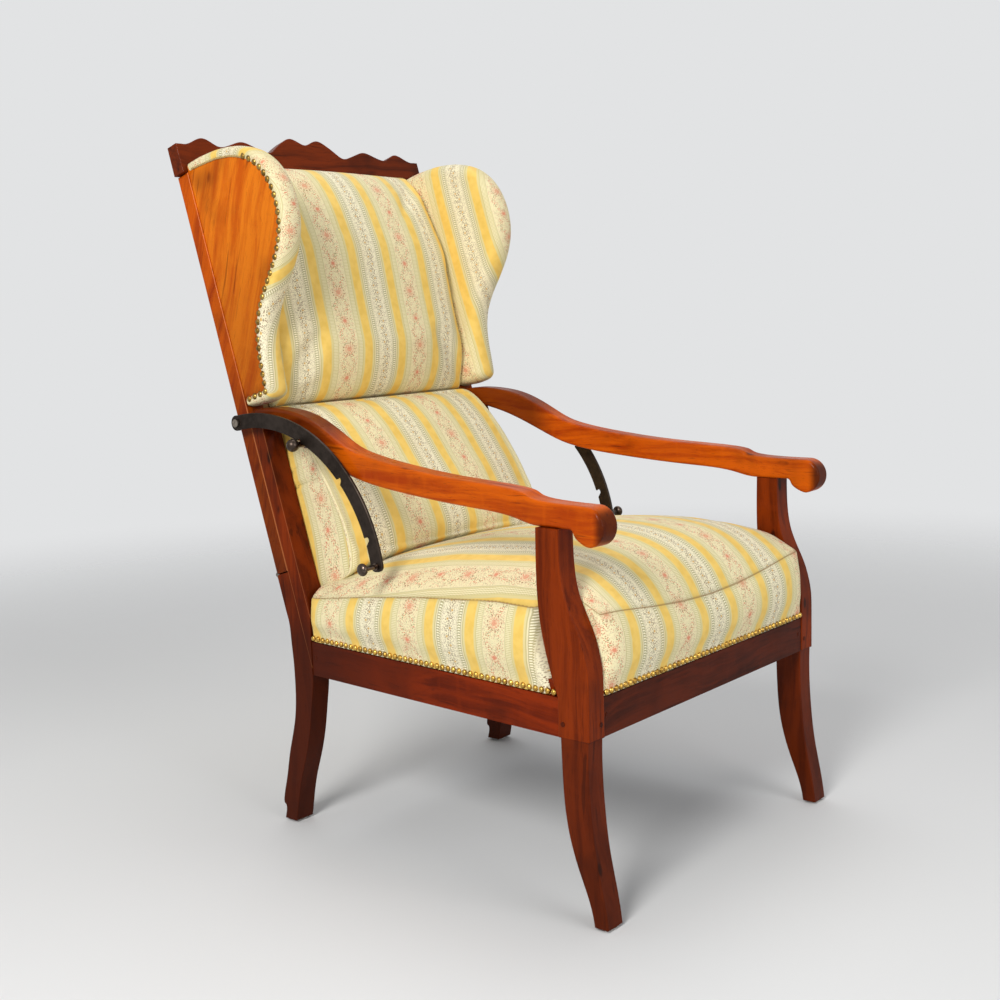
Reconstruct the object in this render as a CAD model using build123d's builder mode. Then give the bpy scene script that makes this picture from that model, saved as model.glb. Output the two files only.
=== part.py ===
from build123d import *
import os
from math import asin, atan2, cos, degrees, radians, sin

# Reclining wing chair, in millimetres.
# +Z is up, the chair faces -Y, and the sitter's right hand is on -X.
# The origin is on the floor under the middle of the chair.

# Whole chair
front_half_width = 312  # middle to the outer face of a front leg
side_taper = 35  # the seat is this much narrower behind, on each side
rear_half_width = front_half_width - side_taper  # middle to the outer face of a rear leg
frame_depth = 610  # front face of the front legs to the back of the rear legs, at the rails
hinge_setback = 31  # the hinge axis stands this far behind the rear legs at the rails
lean_deg = 16.8  # the upright back against the vertical
recline_step_deg = 25  # from one notch of the ratchet to the next
notch_count = 3

# Clearances
seat_gap = 0.3  # between a piece and what carries it
pad_gap = 1.5  # between upholstery and the wood beside it
fit_gap = 0.1  # a pin, screw, peg or tenon in its hole, all round
overrun = 5  # how far a cut runs past what it cuts

# Feet
glide_height = 4
glide_radius = 12
glide_flat_radius = 7

# Seat rails
rail_bottom = 257
rail_face_height = 54  # polished face below the nails
rail_cover_height = 22  # upper strip that the cover is nailed over
rail_face_top = rail_bottom + rail_face_height
rail_top = rail_face_top + rail_cover_height
hinge_rise = 78  # the back turns this far above the rails
hinge_height = rail_top + hinge_rise
rail_thickness = 28
rail_setback = 1.5  # behind the faces of the legs
cover_recess = 4
tenon_length = 18
tenon_thickness = 10
tenon_shoulder = 10
tenon_height = 34
peg_radius = 3.5
peg_length = 26
peg_proud = 0.6
peg_inset = 8  # from the edge of the leg to the middle of a peg
peg_rise = 19  # above the rail's lower edge
plug_rise = 29  # plugs in the rails, above their lower edge
block_leg = 55  # glued block in each corner of the seat frame
block_inset = 9
strip_relief = 9  # the cover strip of a side rail starts this far behind the block

# Front leg and arm support, in one piece
front_leg_thickness = 35
block_depth = 51
front_leg_splay = 24
ankle_step = 3  # the leg is this much slimmer than the block above it
arm_over_rail = 205
arm_front_height = rail_top + arm_over_rail  # underside of the arm on the front post
support_rake = 45  # the support leans back by this much above the block
support_depth = 37
front_leg_front_shares = ((0, -1), (0.18, -0.7), (0.38, -0.27), (0.6, 0.01), (0.8, 0.14))
front_leg_rear_shares = ((0, -0.03), (0.15, 0.16), (0.3, 0.457), (0.51, 0.765), (0.74, 0.895))
support_front_shares = ((0.225, 0.07), (0.36, 0.26), (0.5, 0.585), (0.62, 0.83), (0.8, 0.975))
support_rear_shares = ((0.16, 0.39), (0.33, 0.72), (0.52, 0.94), (0.78, 1.02))
leg_round = 2
support_round = 1.2

# Rear leg, in one piece with the fixed post below the arm
rear_leg_thickness = 36
rear_leg_reach = 74  # from the hinge axis forward to the face that the side rail meets
rear_leg_front_shares = ((0, 0.25), (0.08, 0.31), (0.29, 0.475), (0.43, 0.64), (0.63, 0.825), (0.82, 0.935))
rear_leg_rear_shares = (  # height share up to the knee, reach share forward of the knee
    (0, -0.3647), (0.0721, -0.3717), (0.1802, -0.2767), (0.3316, -0.1067), (0.4829, 0.0983),
    (0.6992, 0.1733), (0.7734, 0.1583), (0.8635, 0.1193), (0.9572, 0.0663),
)
rear_leg_round = 0.6
knee_rise = 22
knee_height = rail_top + knee_rise  # the leg's rear face is straight above this
knee_front_shares = ((0.45, 0.1),)
rear_foot_slope = 0.3  # forward run of the leg over its rise, at the foot
post_foot_at = -12  # along the back, where the front face of the fixed post starts
arm_rise = 109  # the arm's seat on the fixed post over the one on the front post
arm_rear_height = arm_front_height + arm_rise  # top of the fixed post
post_depth = 25.5

# Arms
arm_thickness = 35
arm_front_inset = 1  # the arm's outer face stands this far inside the front leg's
arm_rear_inset = 6  # and inside the rear leg's at its rear end
arm_end_inset = 3.2  # the arm ends this far inside the rear face of the fixed post
scroll_radius = 27
scroll_dip = 21.5  # the scroll reaches this far below the arm's underside
arm_rear_share = 1.266  # top of the arm's rear end, as a share of its rise
arm_top_shares = (
    (0.985, 1.275), (0.9, 1.28), (0.8176, 1.202), (0.7767, 1.119), (0.712, 0.936),
    (0.66, 0.79), (0.6, 0.697), (0.4717, 0.585), (0.2814, 0.485), (0.1053, 0.405),
)
arm_under_shares = (
    (0.12, 0.06), (0.253, 0.138), (0.475, 0.2385), (0.6, 0.335), (0.6588, 0.418),
    (0.7264, 0.575), (0.8, 0.76), (0.86, 0.885), (0.92, 0.975),
)
scroll_throat_shares = ((0.3, 0.16), (0.82, 0.67), (1.12, 1))
scroll_turn_deg = 10.6
arm_round = 5
arm_tenon_length = 14
arm_tenon_width = 14

# Back frame, measured along the lean from the hinge axis and square to it
stile_rear = 2  # rear face of a stile, forward of the hinge axis
stile_depth = 27
stile_thickness = 36
stile_length = 666
step_gap = 0.8  # above and below the hinge axis
back_rail_rear = 4
back_rail_depth = 23.4
bottom_rail_at = 14
bottom_rail_height = 48
middle_rail_at = 245
middle_rail_height = 44
crest_end_height = 49
crest_overhang = 8
crest_ledge = 30  # hidden strip of the crest rail between the stiles
crest_peak = 26
crest_shares = (  # place along half the crest, height over its ends as a share of the peak
    (0, 0.63), (0.05, 0.8), (0.112, 1), (0.18, 0.72), (0.25, 0.22), (0.305, -0.12), (0.37, 0.0),
    (0.44, 0.27), (0.505, 0.45), (0.57, 0.3), (0.63, 0.08), (0.69, 0.0), (0.75, 0.3), (0.8, 0.48),
    (0.86, 0.3), (0.92, 0.03), (0.96, 0.0),
)
crest_round = 1.5

# Wings
wing_recess = 2.5  # the board's face behind the stile's
wing_thickness = 14
wing_bottom_at = middle_rail_at + 31
wing_over_stile = 10  # the wing's top over the stile's
wing_height = stile_length - wing_bottom_at + wing_over_stile
wing_reach = 188
wing_shares = (  # height share, reach share
    (0, 0.314), (0.08, 0.333), (0.16, 0.352), (0.235, 0.39), (0.3, 0.455), (0.36, 0.56), (0.43, 0.72),
    (0.5, 0.86), (0.58, 0.96), (0.68, 1), (0.77, 0.975), (0.84, 0.91), (0.9, 0.8), (0.945, 0.64),
    (0.98, 0.4), (0.995, 0.16),
)
wing_pad_thickness = 28
wing_pad_lip = 5  # the stuffed edge stands out past the board
wing_pad_shares = ((0, 1), (0.43, 1), (0.68, 1), (0.84, 0.76), (0.95, 0.12), (1, -0.8))  # depth, lip

# Back upholstery
upper_pad_inset = 46.5  # inside the outer faces of the stiles
upper_pad_half_width = rear_half_width - upper_pad_inset
upper_pad_bottom = middle_rail_at + 23
upper_pad_over_stile = 14
upper_pad_top = stile_length + upper_pad_over_stile
upper_pad_crown = 7
upper_pad_fullness = 98
upper_pad_shares = (  # height share, forward share at the pad's sides
    (0, 0.48), (0.035, 0.62), (0.11, 0.78), (0.25, 0.9), (0.45, 0.96), (0.65, 0.98), (0.8, 0.9),
    (0.92, 0.76), (0.985, 0.6), (1, 0.45),
)
lower_pad_bottom = -5
lower_pad_top = middle_rail_at + 19
lower_pad_crown = 8
lower_pad_fullness = 135
lower_pad_inset = 39
lower_pad_half_width = rear_half_width - lower_pad_inset
lower_pad_top_share = 0.98  # the pad is this much narrower between the arms
lower_pad_shares = (
    (0, 0.86), (0.07, 0.96), (0.18, 1), (0.28, 0.99), (0.4, 0.94), (0.55, 0.87), (0.7, 0.78),
    (0.85, 0.65), (0.94, 0.53), (0.99, 0.43), (1, 0.36),
)
pad_draw = 3  # the sides of a pad pull in by this much in front
strap_width = 50
strap_thickness = 1
strap_count = 5
strap_edge_inset = 72  # the outer straps lie this far inside the rear legs' outer faces
strap_pitch = 2 * (rear_half_width - strap_edge_inset - strap_width / 2) / (strap_count - 1)
strap_turn_in = 8  # from a strap's end to the outer face of the rail
cover_thickness = 1.5
cover_inset = 15
cover_bottom_at = 36

# Seat
seat_front_bulge = 9
seat_side_bulge = 7
nail_band = 13  # flat lowest strip of the seat's border
seam_front_rise = 112  # side seam over the rail's polished face, at the front
seam_rear_rise = 68
seat_crown = 62
seat_shares = (  # place along the seat, rise of the side seam, crown
    (0, 0.25, 0.12), (0.02, 0.55, 0.36), (0.09, 0.97, 0.7), (0.27, 0.96, 0.97),
    (0.52, 0.7, 1.08), (0.73, 0.4, 0.96), (0.9, 0.12, 0.74), (1, 0, 0.5),
)
crown_shares = ((0, 1), (0.38, 0.95), (0.72, 0.76), (0.93, 0.38))  # half-width, height
spring_radius = 36
spring_wire_radius = 1.8
spring_turns = 5
spring_pitch_across = 150
spring_pitch_along = 140
spring_count = 3
cloth_thickness = 0.8
cloth_inset = 10
nail_radius = 4.8
nail_tip_radius = 2.6
nail_height = 2
nail_pitch = 11.8
nail_rise = 6.5  # above the rail's polished face
wing_nail_pitch = 13.4
wing_nail_inset = 8

# Butt hinge of the back
knuckle_radius = 4
hinge_pin_radius = 1.6
hinge_width = 30
leaf_length = 31
leaf_thickness = 2
moving_knuckle_share = 0.5
hinge_screw_radius = 1.7
hinge_screw_head_radius = 3.4
hinge_screw_length = 8
hinge_screw_shares = ((-0.3, 0.4), (0.3, 0.4), (0, 0.75))

# Ratchet bars
bar_inset = 19.8  # the bar's inner face inside the front leg's outer face
bar_inner_face = front_half_width - bar_inset
bar_thickness = 5
bar_over_post = 26  # the bar's outer rim over the top of the fixed post
bar_outer_radius = arm_rear_height - hinge_height + bar_over_post
bar_width = 23.5
bar_eye_radius = 12.3
bar_top_deg = -12.2  # all angles lie at the hinge axis, from the vertical forward
bar_end_deg = 82.4
bar_end_radius = 9
bar_round = 0.8
notch_deg = 22.5
notch_lead = 9
drop_deg = 1.9  # the bar turns down by this much onto the stud
lift_clearance = 0.35
pivot_radius = 4
pivot_collar_radius = 7
pivot_head_radius = 6.5
pivot_head_height = 3
pivot_depth = 16
stud_radius = 4.5
stud_shank_radius = 3
stud_collar_radius = 7
stud_collar_height = 3
stud_depth = 18
ball_radius = 10
handle_radius = 3.4
handle_length = 24
handle_deg = 80.5
knob_radius = 9.5
knob_depth_share = 0.66  # the ball is flattened along its handle
rivet_radius = 5.5
rivet_height = 2.2

# Places worked out from the sizes
lean = radians(lean_deg)
lean_sin, lean_cos = sin(lean), cos(lean)
crest_bottom_at = stile_length
crest_top_at = crest_bottom_at + crest_end_height + crest_peak
front_reach = hinge_setback + frame_depth + scroll_radius
rear_reach = crest_top_at * lean_sin - back_rail_rear * lean_cos
hinge_y = (front_reach - rear_reach) / 2
front_y = hinge_y - hinge_setback - frame_depth
rail_end_front_y = front_y + block_depth
rail_end_rear_y = hinge_y - rear_leg_reach
stile_front = stile_rear + stile_depth
post_rear = stile_front + seat_gap
post_front = post_rear + post_depth
front_inner_face = front_half_width - front_leg_thickness
rear_inner_face = rear_half_width - rear_leg_thickness
stile_inner_face = rear_half_width - stile_thickness
foot_bottom = glide_height
rear_rail_front_y = rail_end_rear_y + rail_setback + tenon_shoulder
rear_rail_rear_y = rear_rail_front_y + rail_thickness
sides = (("right", -1), ("left", 1))


def lean_place(along, forward):
    """As lean_point, but with Y taken from the hinge axis."""
    y = along * lean_sin - forward * lean_cos
    return y, hinge_height + along * lean_cos + forward * lean_sin


def lean_point(along, forward):
    """Y and Z of a point given along the back from the hinge axis and square to it."""
    y, z = lean_place(along, forward)
    return hinge_y + y, z


def along_at(height, forward):
    return (height - hinge_height - forward * lean_sin) / lean_cos


def side_plane(x):
    """Upright plane facing +X, with Y and Z as its own directions."""
    return Plane(origin=(x, 0, 0), x_dir=(0, 1, 0), z_dir=(1, 0, 0))


def back_plane(x):
    """Plane facing -X whose own directions run forward from the back and up along it."""
    return Plane(
        origin=(x, hinge_y, hinge_height), x_dir=(0, -lean_cos, lean_sin), z_dir=(-1, 0, 0)
    )


def hinge_plane(x):
    """Plane facing -X through the hinge axis, with forward and up as its own directions."""
    return Plane(origin=(x, hinge_y, hinge_height), x_dir=(0, -1, 0), z_dir=(-1, 0, 0))


def across_back(along):
    """Plane square to the back's length, with X and forward as its own directions."""
    y, z = lean_point(along, 0)
    return Plane(origin=(0, y, z), x_dir=(-1, 0, 0), z_dir=(0, lean_sin, lean_cos))


def finish(part, name):
    part.part.label = name
    export_step(part.part, f"parts/{name}.step")


def soften(faces, radius, shortest=0):
    """Rounds the faces' edges that are longer than the shortest."""
    edges = [edge for face in faces for edge in face.edges() if edge.length > shortest]
    fillet(edges, radius)


def front_view(forward):
    """Plane square to the back's depth, with X and the back's length as its own directions."""
    y, z = lean_point(0, forward)
    return Plane(origin=(0, y, z), x_dir=(1, 0, 0), z_dir=(0, -lean_cos, lean_sin))


def block(x0, x1, y0, y1, z0, z1, mode=Mode.ADD):
    with Locations(((x0 + x1) / 2, (y0 + y1) / 2, (z0 + z1) / 2)):
        Box(abs(x1 - x0), abs(y1 - y0), abs(z1 - z0), mode=mode)


def lean_block(x0, x1, along0, along1, forward0, forward1, mode=Mode.ADD):
    """Block set square to the back, between two places each way."""
    y, z = lean_point((along0 + along1) / 2, (forward0 + forward1) / 2)
    with Locations(Location(((x0 + x1) / 2, y, z), (-lean_deg, 0, 0))):
        Box(abs(x1 - x0), abs(forward1 - forward0), abs(along1 - along0), mode=mode)


def rod(x0, x1, y, z, radius, mode=Mode.ADD):
    """Cylinder along X between two places."""
    with Locations(Location(((x0 + x1) / 2, y, z), (0, 90, 0))):
        Cylinder(radius, abs(x1 - x0), mode=mode)


def cross_rod(x, y0, y1, z, radius, mode=Mode.ADD):
    """Cylinder along Y between two places."""
    with Locations(Location((x, (y0 + y1) / 2, z), (90, 0, 0))):
        Cylinder(radius, abs(y1 - y0), mode=mode)


def standing_rod(x, y, z0, z1, radius, mode=Mode.ADD):
    with Locations((x, y, (z0 + z1) / 2)):
        Cylinder(radius, abs(z1 - z0), mode=mode)


def slab(points, z0, z1, mode=Mode.ADD):
    """Level plate with the given outline, between two heights."""
    with BuildSketch(Plane.XY.offset(z0)) as plan:
        with BuildLine():
            Polyline(*points, close=True)
        make_face()
    extrude(plan.sketch, amount=z1 - z0, mode=mode)


def rail_line(y, inset):
    """Half-width of the seat frame at y, measured to a line this far inside the legs' faces."""
    share = (y - rail_end_front_y) / (rail_end_rear_y - rail_end_front_y)
    return front_half_width - inset - share * (front_half_width - rear_half_width)


def arm_line(y):
    """Half-width to the outer face of an arm at y."""
    share = (y - front_y) / arm_length
    front, rear = front_half_width - arm_front_inset, rear_half_width - arm_rear_inset
    return front + share * (rear - front)


def hinge_point(radius, degrees_forward):
    """Y and Z of a point on a circle about the hinge axis."""
    turn = radians(degrees_forward)
    return hinge_y - radius * sin(turn), hinge_height + radius * cos(turn)


def flat_point(radius, degrees_forward):
    """The same point in the hinge plane's own directions."""
    turn = radians(degrees_forward)
    return radius * sin(turn), radius * cos(turn)


# Places shared by several pieces
arm_rear_reach = lean_place(along_at(arm_rear_height, post_rear), post_rear)[0] - arm_end_inset
arm_length = frame_depth + hinge_setback + arm_rear_reach
arm_rear_y = front_y + arm_length
front_rail_y = front_y + rail_setback
front_rail_rear_y = front_rail_y + rail_thickness
front_tenon_y = front_rail_y + rail_thickness / 2
rear_tenon_y = rear_rail_front_y + rail_thickness / 2
front_toe = front_leg_front_shares[0][1] * front_leg_splay
front_heel = front_leg_rear_shares[0][1] * block_depth
front_foot_y = front_y + (front_toe + front_heel) / 2
knee = lean_place(along_at(knee_height, stile_rear), stile_rear)
rear_foot_reach = (rear_leg_front_shares[0][1] + rear_leg_rear_shares[0][1]) * rear_leg_reach
rear_foot_y = hinge_y + (knee[0] - rear_foot_reach) / 2
front_leg_x = front_half_width - front_leg_thickness / 2
rear_leg_x = rear_half_width - rear_leg_thickness / 2
rail_x_front = front_half_width - rail_setback - rail_thickness / 2
rail_x_rear = rear_half_width - rail_setback - rail_thickness / 2
tenon_low = rail_bottom + (rail_face_height - tenon_height) / 2
tenon_high = tenon_low + tenon_height
peg_height = rail_bottom + peg_rise
plug_height = rail_bottom + plug_rise
side_peg_y = rail_end_front_y - peg_inset
front_peg_x = front_inner_face + peg_inset
side_plug_y = rail_end_rear_y - peg_inset
front_plug_x = front_inner_face - peg_inset
support_top_y = front_y + support_rake + support_depth / 2
post_top_y = (
    lean_point(along_at(arm_rear_height, post_rear), post_rear)[0]
    + lean_point(along_at(arm_rear_height, post_front), post_front)[0]
) / 2
glide_shank_top = foot_bottom + glide_radius
glide_shank_radius = hinge_screw_radius
crest_half_length = rear_half_width + crest_overhang
back_rail_front = back_rail_rear + back_rail_depth
pad_back = stile_front + seat_gap
bar_outer_face = bar_inner_face + bar_thickness
bar_mid_radius = bar_outer_radius - bar_width / 2
bar_rim_radius = bar_outer_radius - bar_width
stud_orbit = bar_rim_radius - lift_clearance - stud_radius
eye_y, eye_z = hinge_point(bar_mid_radius, bar_top_deg)
stud_y, stud_z = hinge_point(stud_orbit, notch_deg)
knob_y, knob_z = hinge_point(bar_mid_radius, handle_deg)
ball_x = bar_outer_face + seat_gap * 3 + ball_radius
knob_x = bar_outer_face + handle_length + knob_radius / 2
hinge_half = hinge_width / 2
strip_gap = cover_recess - seat_gap
cavity_top = rail_top + seat_gap + cloth_thickness + seat_gap
webbing_top = rail_bottom - seat_gap
spring_rows_y = (front_rail_rear_y + rear_rail_front_y) / 2


def leg_curve(base_y, reach, shares, low, height):
    return [(base_y + reach * share, low + rise * height) for rise, share in shares]


def mortise(x, y, depth_x, depth_y, low, high):
    """Slot for a tenon, larger than it all round."""
    block(
        x - depth_x / 2 - fit_gap, x + depth_x / 2 + fit_gap,
        y - depth_y / 2 - fit_gap, y + depth_y / 2 + fit_gap,
        low - fit_gap, high + fit_gap, mode=Mode.SUBTRACT,
    )


def front_leg(side, sign):
    leg_height = rail_bottom - foot_bottom
    support_height = arm_front_height - rail_face_top
    low_front = leg_curve(0, front_leg_splay, front_leg_front_shares, foot_bottom, leg_height)
    low_rear = leg_curve(0, block_depth, front_leg_rear_shares, foot_bottom, leg_height)
    high_front = leg_curve(0, support_rake, support_front_shares, rail_face_top, support_height)
    flare = support_rake + support_depth - block_depth
    high_rear = leg_curve(block_depth, flare, support_rear_shares, rail_face_top, support_height)
    top_front, top_rear = support_rake, support_rake + support_depth
    ankle = rail_bottom + overrun
    with BuildPart() as shank:
        with BuildSketch(side_plane(0)):
            with BuildLine():
                Line(low_front[0], low_rear[0])
                Spline(*low_rear, (block_depth - ankle_step, ankle))
                Line((block_depth - ankle_step, ankle), (ankle_step, ankle))
                Spline((ankle_step, ankle), *low_front[::-1])
            make_face()
        extrude(amount=-sign * front_leg_thickness)
        soften(shank.faces().filter_by(Axis.X), leg_round, block_depth)
    with BuildPart() as support:
        with BuildSketch(side_plane(0)):
            with BuildLine():
                Line((block_depth, rail_bottom), (block_depth, rail_face_top))
                Spline((block_depth, rail_face_top), *high_rear, (top_rear, arm_front_height))
                Line((top_rear, arm_front_height), (top_front, arm_front_height))
                Spline(
                    (top_front, arm_front_height), *high_front[::-1], (0, rail_face_top),
                    tangents=((0, -1), (0, -1)),
                )
                Line((0, rail_face_top), (0, rail_bottom))
                Line((0, rail_bottom), (block_depth, rail_bottom))
            make_face()
        extrude(amount=-sign * front_leg_thickness)
        soften(support.faces().filter_by(Axis.X), support_round)
    with BuildPart() as leg:
        with Locations((sign * front_half_width, front_y, 0)):
            add(support.part)
            add(shank.part)
        block(
            sign * front_leg_x - tenon_thickness / 2, sign * front_leg_x + tenon_thickness / 2,
            support_top_y - arm_tenon_width / 2, support_top_y + arm_tenon_width / 2,
            arm_front_height - overrun, arm_front_height + arm_tenon_length,
        )
        mortise(
            sign * (front_inner_face + tenon_length / 2), front_tenon_y,
            tenon_length, tenon_thickness, tenon_low, tenon_high,
        )
        mortise(
            sign * rail_x_front, rail_end_front_y - tenon_length / 2,
            tenon_thickness, tenon_length, tenon_low, tenon_high,
        )
        hole = peg_radius + fit_gap
        rod(
            sign * (front_half_width + overrun), sign * (front_half_width - peg_length - fit_gap),
            side_peg_y, peg_height, hole, mode=Mode.SUBTRACT,
        )
        cross_rod(
            sign * front_peg_x, front_y - overrun, front_y + peg_length + fit_gap,
            peg_height, hole, mode=Mode.SUBTRACT,
        )
        standing_rod(
            sign * front_leg_x, front_foot_y, foot_bottom - overrun, glide_shank_top + fit_gap,
            glide_shank_radius + fit_gap, mode=Mode.SUBTRACT,
        )
    finish(leg, f"front_leg_{side}")


def screw(x, along, grow, mode=Mode.ADD):
    """Countersunk screw driven forward into the back of the chair, or its hole when grown."""
    head_height = hinge_screw_head_radius - hinge_screw_radius
    with Locations(front_view(stile_rear).location * Location((x, along, 0))):
        Cone(
            hinge_screw_head_radius + grow, hinge_screw_radius + grow, head_height,
            align=(Align.CENTER, Align.CENTER, Align.MIN), mode=mode,
        )
        Cylinder(
            hinge_screw_radius + grow, hinge_screw_length + grow,
            align=(Align.CENTER, Align.CENTER, Align.MIN), mode=mode,
        )


def leaf_screws(sign, way, grow, mode=Mode.ADD):
    for across, down in hinge_screw_shares:
        screw(sign * (rear_leg_x + across * hinge_width), way * down * leaf_length, grow, mode)


def leaf_pocket(sign, way):
    """Room for a hinge leaf, its screws and the knuckle."""
    lean_block(
        sign * (rear_leg_x - hinge_half - seat_gap), sign * (rear_leg_x + hinge_half + seat_gap),
        0, way * (leaf_length + seat_gap), stile_rear - overrun, stile_rear + leaf_thickness + seat_gap,
        mode=Mode.SUBTRACT,
    )
    rod(
        sign * (rear_inner_face - overrun), sign * (rear_half_width + overrun),
        hinge_y, hinge_height, knuckle_radius + seat_gap, mode=Mode.SUBTRACT,
    )
    leaf_screws(sign, way, fit_gap, Mode.SUBTRACT)


def rear_leg(side, sign):
    leg_height = rail_bottom - foot_bottom
    front = leg_curve(0, -rear_leg_reach, rear_leg_front_shares, foot_bottom, leg_height)
    rear = leg_curve(
        knee[0], -rear_leg_reach, rear_leg_rear_shares, foot_bottom, knee_height - foot_bottom
    )
    post_foot = lean_place(post_foot_at, post_front)
    throat = leg_curve(
        -rear_leg_reach, post_foot[0] + rear_leg_reach, knee_front_shares,
        rail_top, post_foot[1] - rail_top,
    )
    with BuildPart() as shape:
        with BuildSketch(side_plane(0)):
            with BuildLine():
                Line(rear[0], front[0])
                Spline(
                    *front, (-rear_leg_reach, rail_bottom), tangents=((-rear_foot_slope, 1), (0, 1))
                )
                Line((-rear_leg_reach, rail_bottom), (-rear_leg_reach, rail_top))
                Spline(
                    (-rear_leg_reach, rail_top), *throat, post_foot,
                    tangents=((0, 1), (lean_sin, lean_cos)),
                )
                Polyline(
                    post_foot,
                    lean_place(along_at(arm_rear_height, post_front), post_front),
                    lean_place(along_at(arm_rear_height, post_rear), post_rear),
                    lean_place(-step_gap, post_rear),
                    lean_place(-step_gap, stile_rear),
                    knee,
                )
                Spline(
                    knee, *rear[::-1], tangents=((-lean_sin, -lean_cos), (rear_foot_slope, -1))
                )
            make_face()
        extrude(amount=-sign * rear_leg_thickness)
        soften(shape.faces().filter_by(Axis.X), rear_leg_round, rear_leg_thickness)
    with BuildPart() as leg:
        with Locations((sign * rear_half_width, hinge_y, 0)):
            add(shape.part)
        block(
            sign * rear_leg_x - tenon_thickness / 2, sign * rear_leg_x + tenon_thickness / 2,
            post_top_y - arm_tenon_width / 2, post_top_y + arm_tenon_width / 2,
            arm_rear_height - overrun, arm_rear_height + arm_tenon_length,
        )
        mortise(
            sign * (rear_inner_face + tenon_length / 2), rear_tenon_y,
            tenon_length, tenon_thickness, tenon_low, tenon_high,
        )
        mortise(
            sign * rail_x_rear, rail_end_rear_y + tenon_length / 2,
            tenon_thickness, tenon_length, tenon_low, tenon_high,
        )
        leaf_pocket(sign, -1)
        standing_rod(
            sign * rear_leg_x, rear_foot_y, foot_bottom - overrun, glide_shank_top + fit_gap,
            glide_shank_radius + fit_gap, mode=Mode.SUBTRACT,
        )
    finish(leg, f"rear_leg_{side}")


def arm(side, sign):
    taper = atan2(arm_line(front_y) - arm_line(arm_rear_y), arm_length)
    stretch = 1 / cos(taper)
    flat = Plane(
        origin=(0, 0, 0),
        x_dir=(-sign * sin(taper), cos(taper), 0),
        z_dir=(cos(taper), sign * sin(taper), 0),
    )
    run = arm_length - support_rake

    def at(along, height):
        return (support_rake + along * run) * stretch, height * arm_rise

    turn = radians(scroll_turn_deg)
    middle = scroll_radius - scroll_dip
    chin = (-scroll_radius * sin(turn), middle - scroll_radius * cos(turn))
    throat = [(share * scroll_radius, (up - 1) * scroll_dip) for share, up in scroll_throat_shares]
    post_front_y = lean_point(along_at(arm_rear_height, post_front), post_front)[0]
    rear_start = ((post_front_y - front_y) * stretch, arm_rise)
    rear_end = (arm_length * stretch, arm_rise)
    rear_top = (arm_length * stretch, arm_rise * arm_rear_share)
    support_end = ((support_rake + support_depth) * stretch, 0)
    land = arm_front_height + seat_gap
    rear_land = arm_rear_height + seat_gap
    with BuildPart() as shape:
        with BuildSketch(flat):
            with BuildLine():
                Line(rear_end, rear_top)
                Spline(
                    rear_top, *[at(*share) for share in arm_top_shares], (0, middle + scroll_radius),
                    tangents=((-1, 0), (-1, 0)),
                )
                ThreePointArc((0, middle + scroll_radius), (-scroll_radius, middle), chin)
                Spline(chin, *throat, tangents=((cos(turn), -sin(turn)), (1, 0)))
                Line(throat[-1], support_end)
                Spline(
                    support_end, *[at(*share) for share in arm_under_shares], rear_start,
                    tangents=((1, 0), (1, 0)),
                )
                Line(rear_start, rear_end)
            make_face()
        extrude(amount=-sign * arm_thickness)
        soften(shape.faces().filter_by(Axis((0, 0, 0), flat.z_dir)), arm_round, arm_thickness)
    with BuildPart() as piece:
        with Locations((sign * arm_line(front_y), front_y, land)):
            add(shape.part)
        mortise(
            sign * front_leg_x, support_top_y, tenon_thickness, arm_tenon_width,
            land - overrun, arm_front_height + arm_tenon_length,
        )
        mortise(
            sign * rear_leg_x, post_top_y, tenon_thickness, arm_tenon_width,
            rear_land - overrun, arm_rear_height + arm_tenon_length,
        )
        rod(
            sign * (arm_line(stud_y) + overrun), sign * (arm_line(stud_y) - stud_depth - fit_gap),
            stud_y, stud_z, stud_shank_radius + fit_gap, mode=Mode.SUBTRACT,
        )
    finish(piece, f"arm_{side}")


def side_rail(side, sign):
    front, rear = rail_end_front_y + seat_gap, rail_end_rear_y - seat_gap

    def strip(start, stop, outer, inner):
        return [
            (sign * rail_line(start, outer), start), (sign * rail_line(stop, outer), stop),
            (sign * rail_line(stop, inner), stop), (sign * rail_line(start, inner), start),
        ]

    inner = rail_setback + rail_thickness
    with BuildPart() as rail:
        slab(strip(front, rear, rail_setback, inner), rail_bottom, rail_face_top)
        slab(
            strip(front + strip_relief, rear, rail_setback + cover_recess, inner),
            rail_face_top, rail_top,
        )
        block(
            sign * rail_x_front - tenon_thickness / 2, sign * rail_x_front + tenon_thickness / 2,
            rail_end_front_y - tenon_length, front + overrun, tenon_low, tenon_high,
        )
        block(
            sign * rail_x_rear - tenon_thickness / 2, sign * rail_x_rear + tenon_thickness / 2,
            rear - overrun, rail_end_rear_y + tenon_length, tenon_low, tenon_high,
        )
        rod(
            sign * (front_half_width + overrun), sign * (front_half_width - peg_length - fit_gap),
            side_peg_y, peg_height, peg_radius + fit_gap, mode=Mode.SUBTRACT,
        )
        face = rail_line(side_plug_y, rail_setback)
        rod(
            sign * (face + overrun), sign * (face - rail_thickness / 2 - fit_gap),
            side_plug_y, plug_height, peg_radius + fit_gap, mode=Mode.SUBTRACT,
        )
    finish(rail, f"side_seat_rail_{side}")


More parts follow.
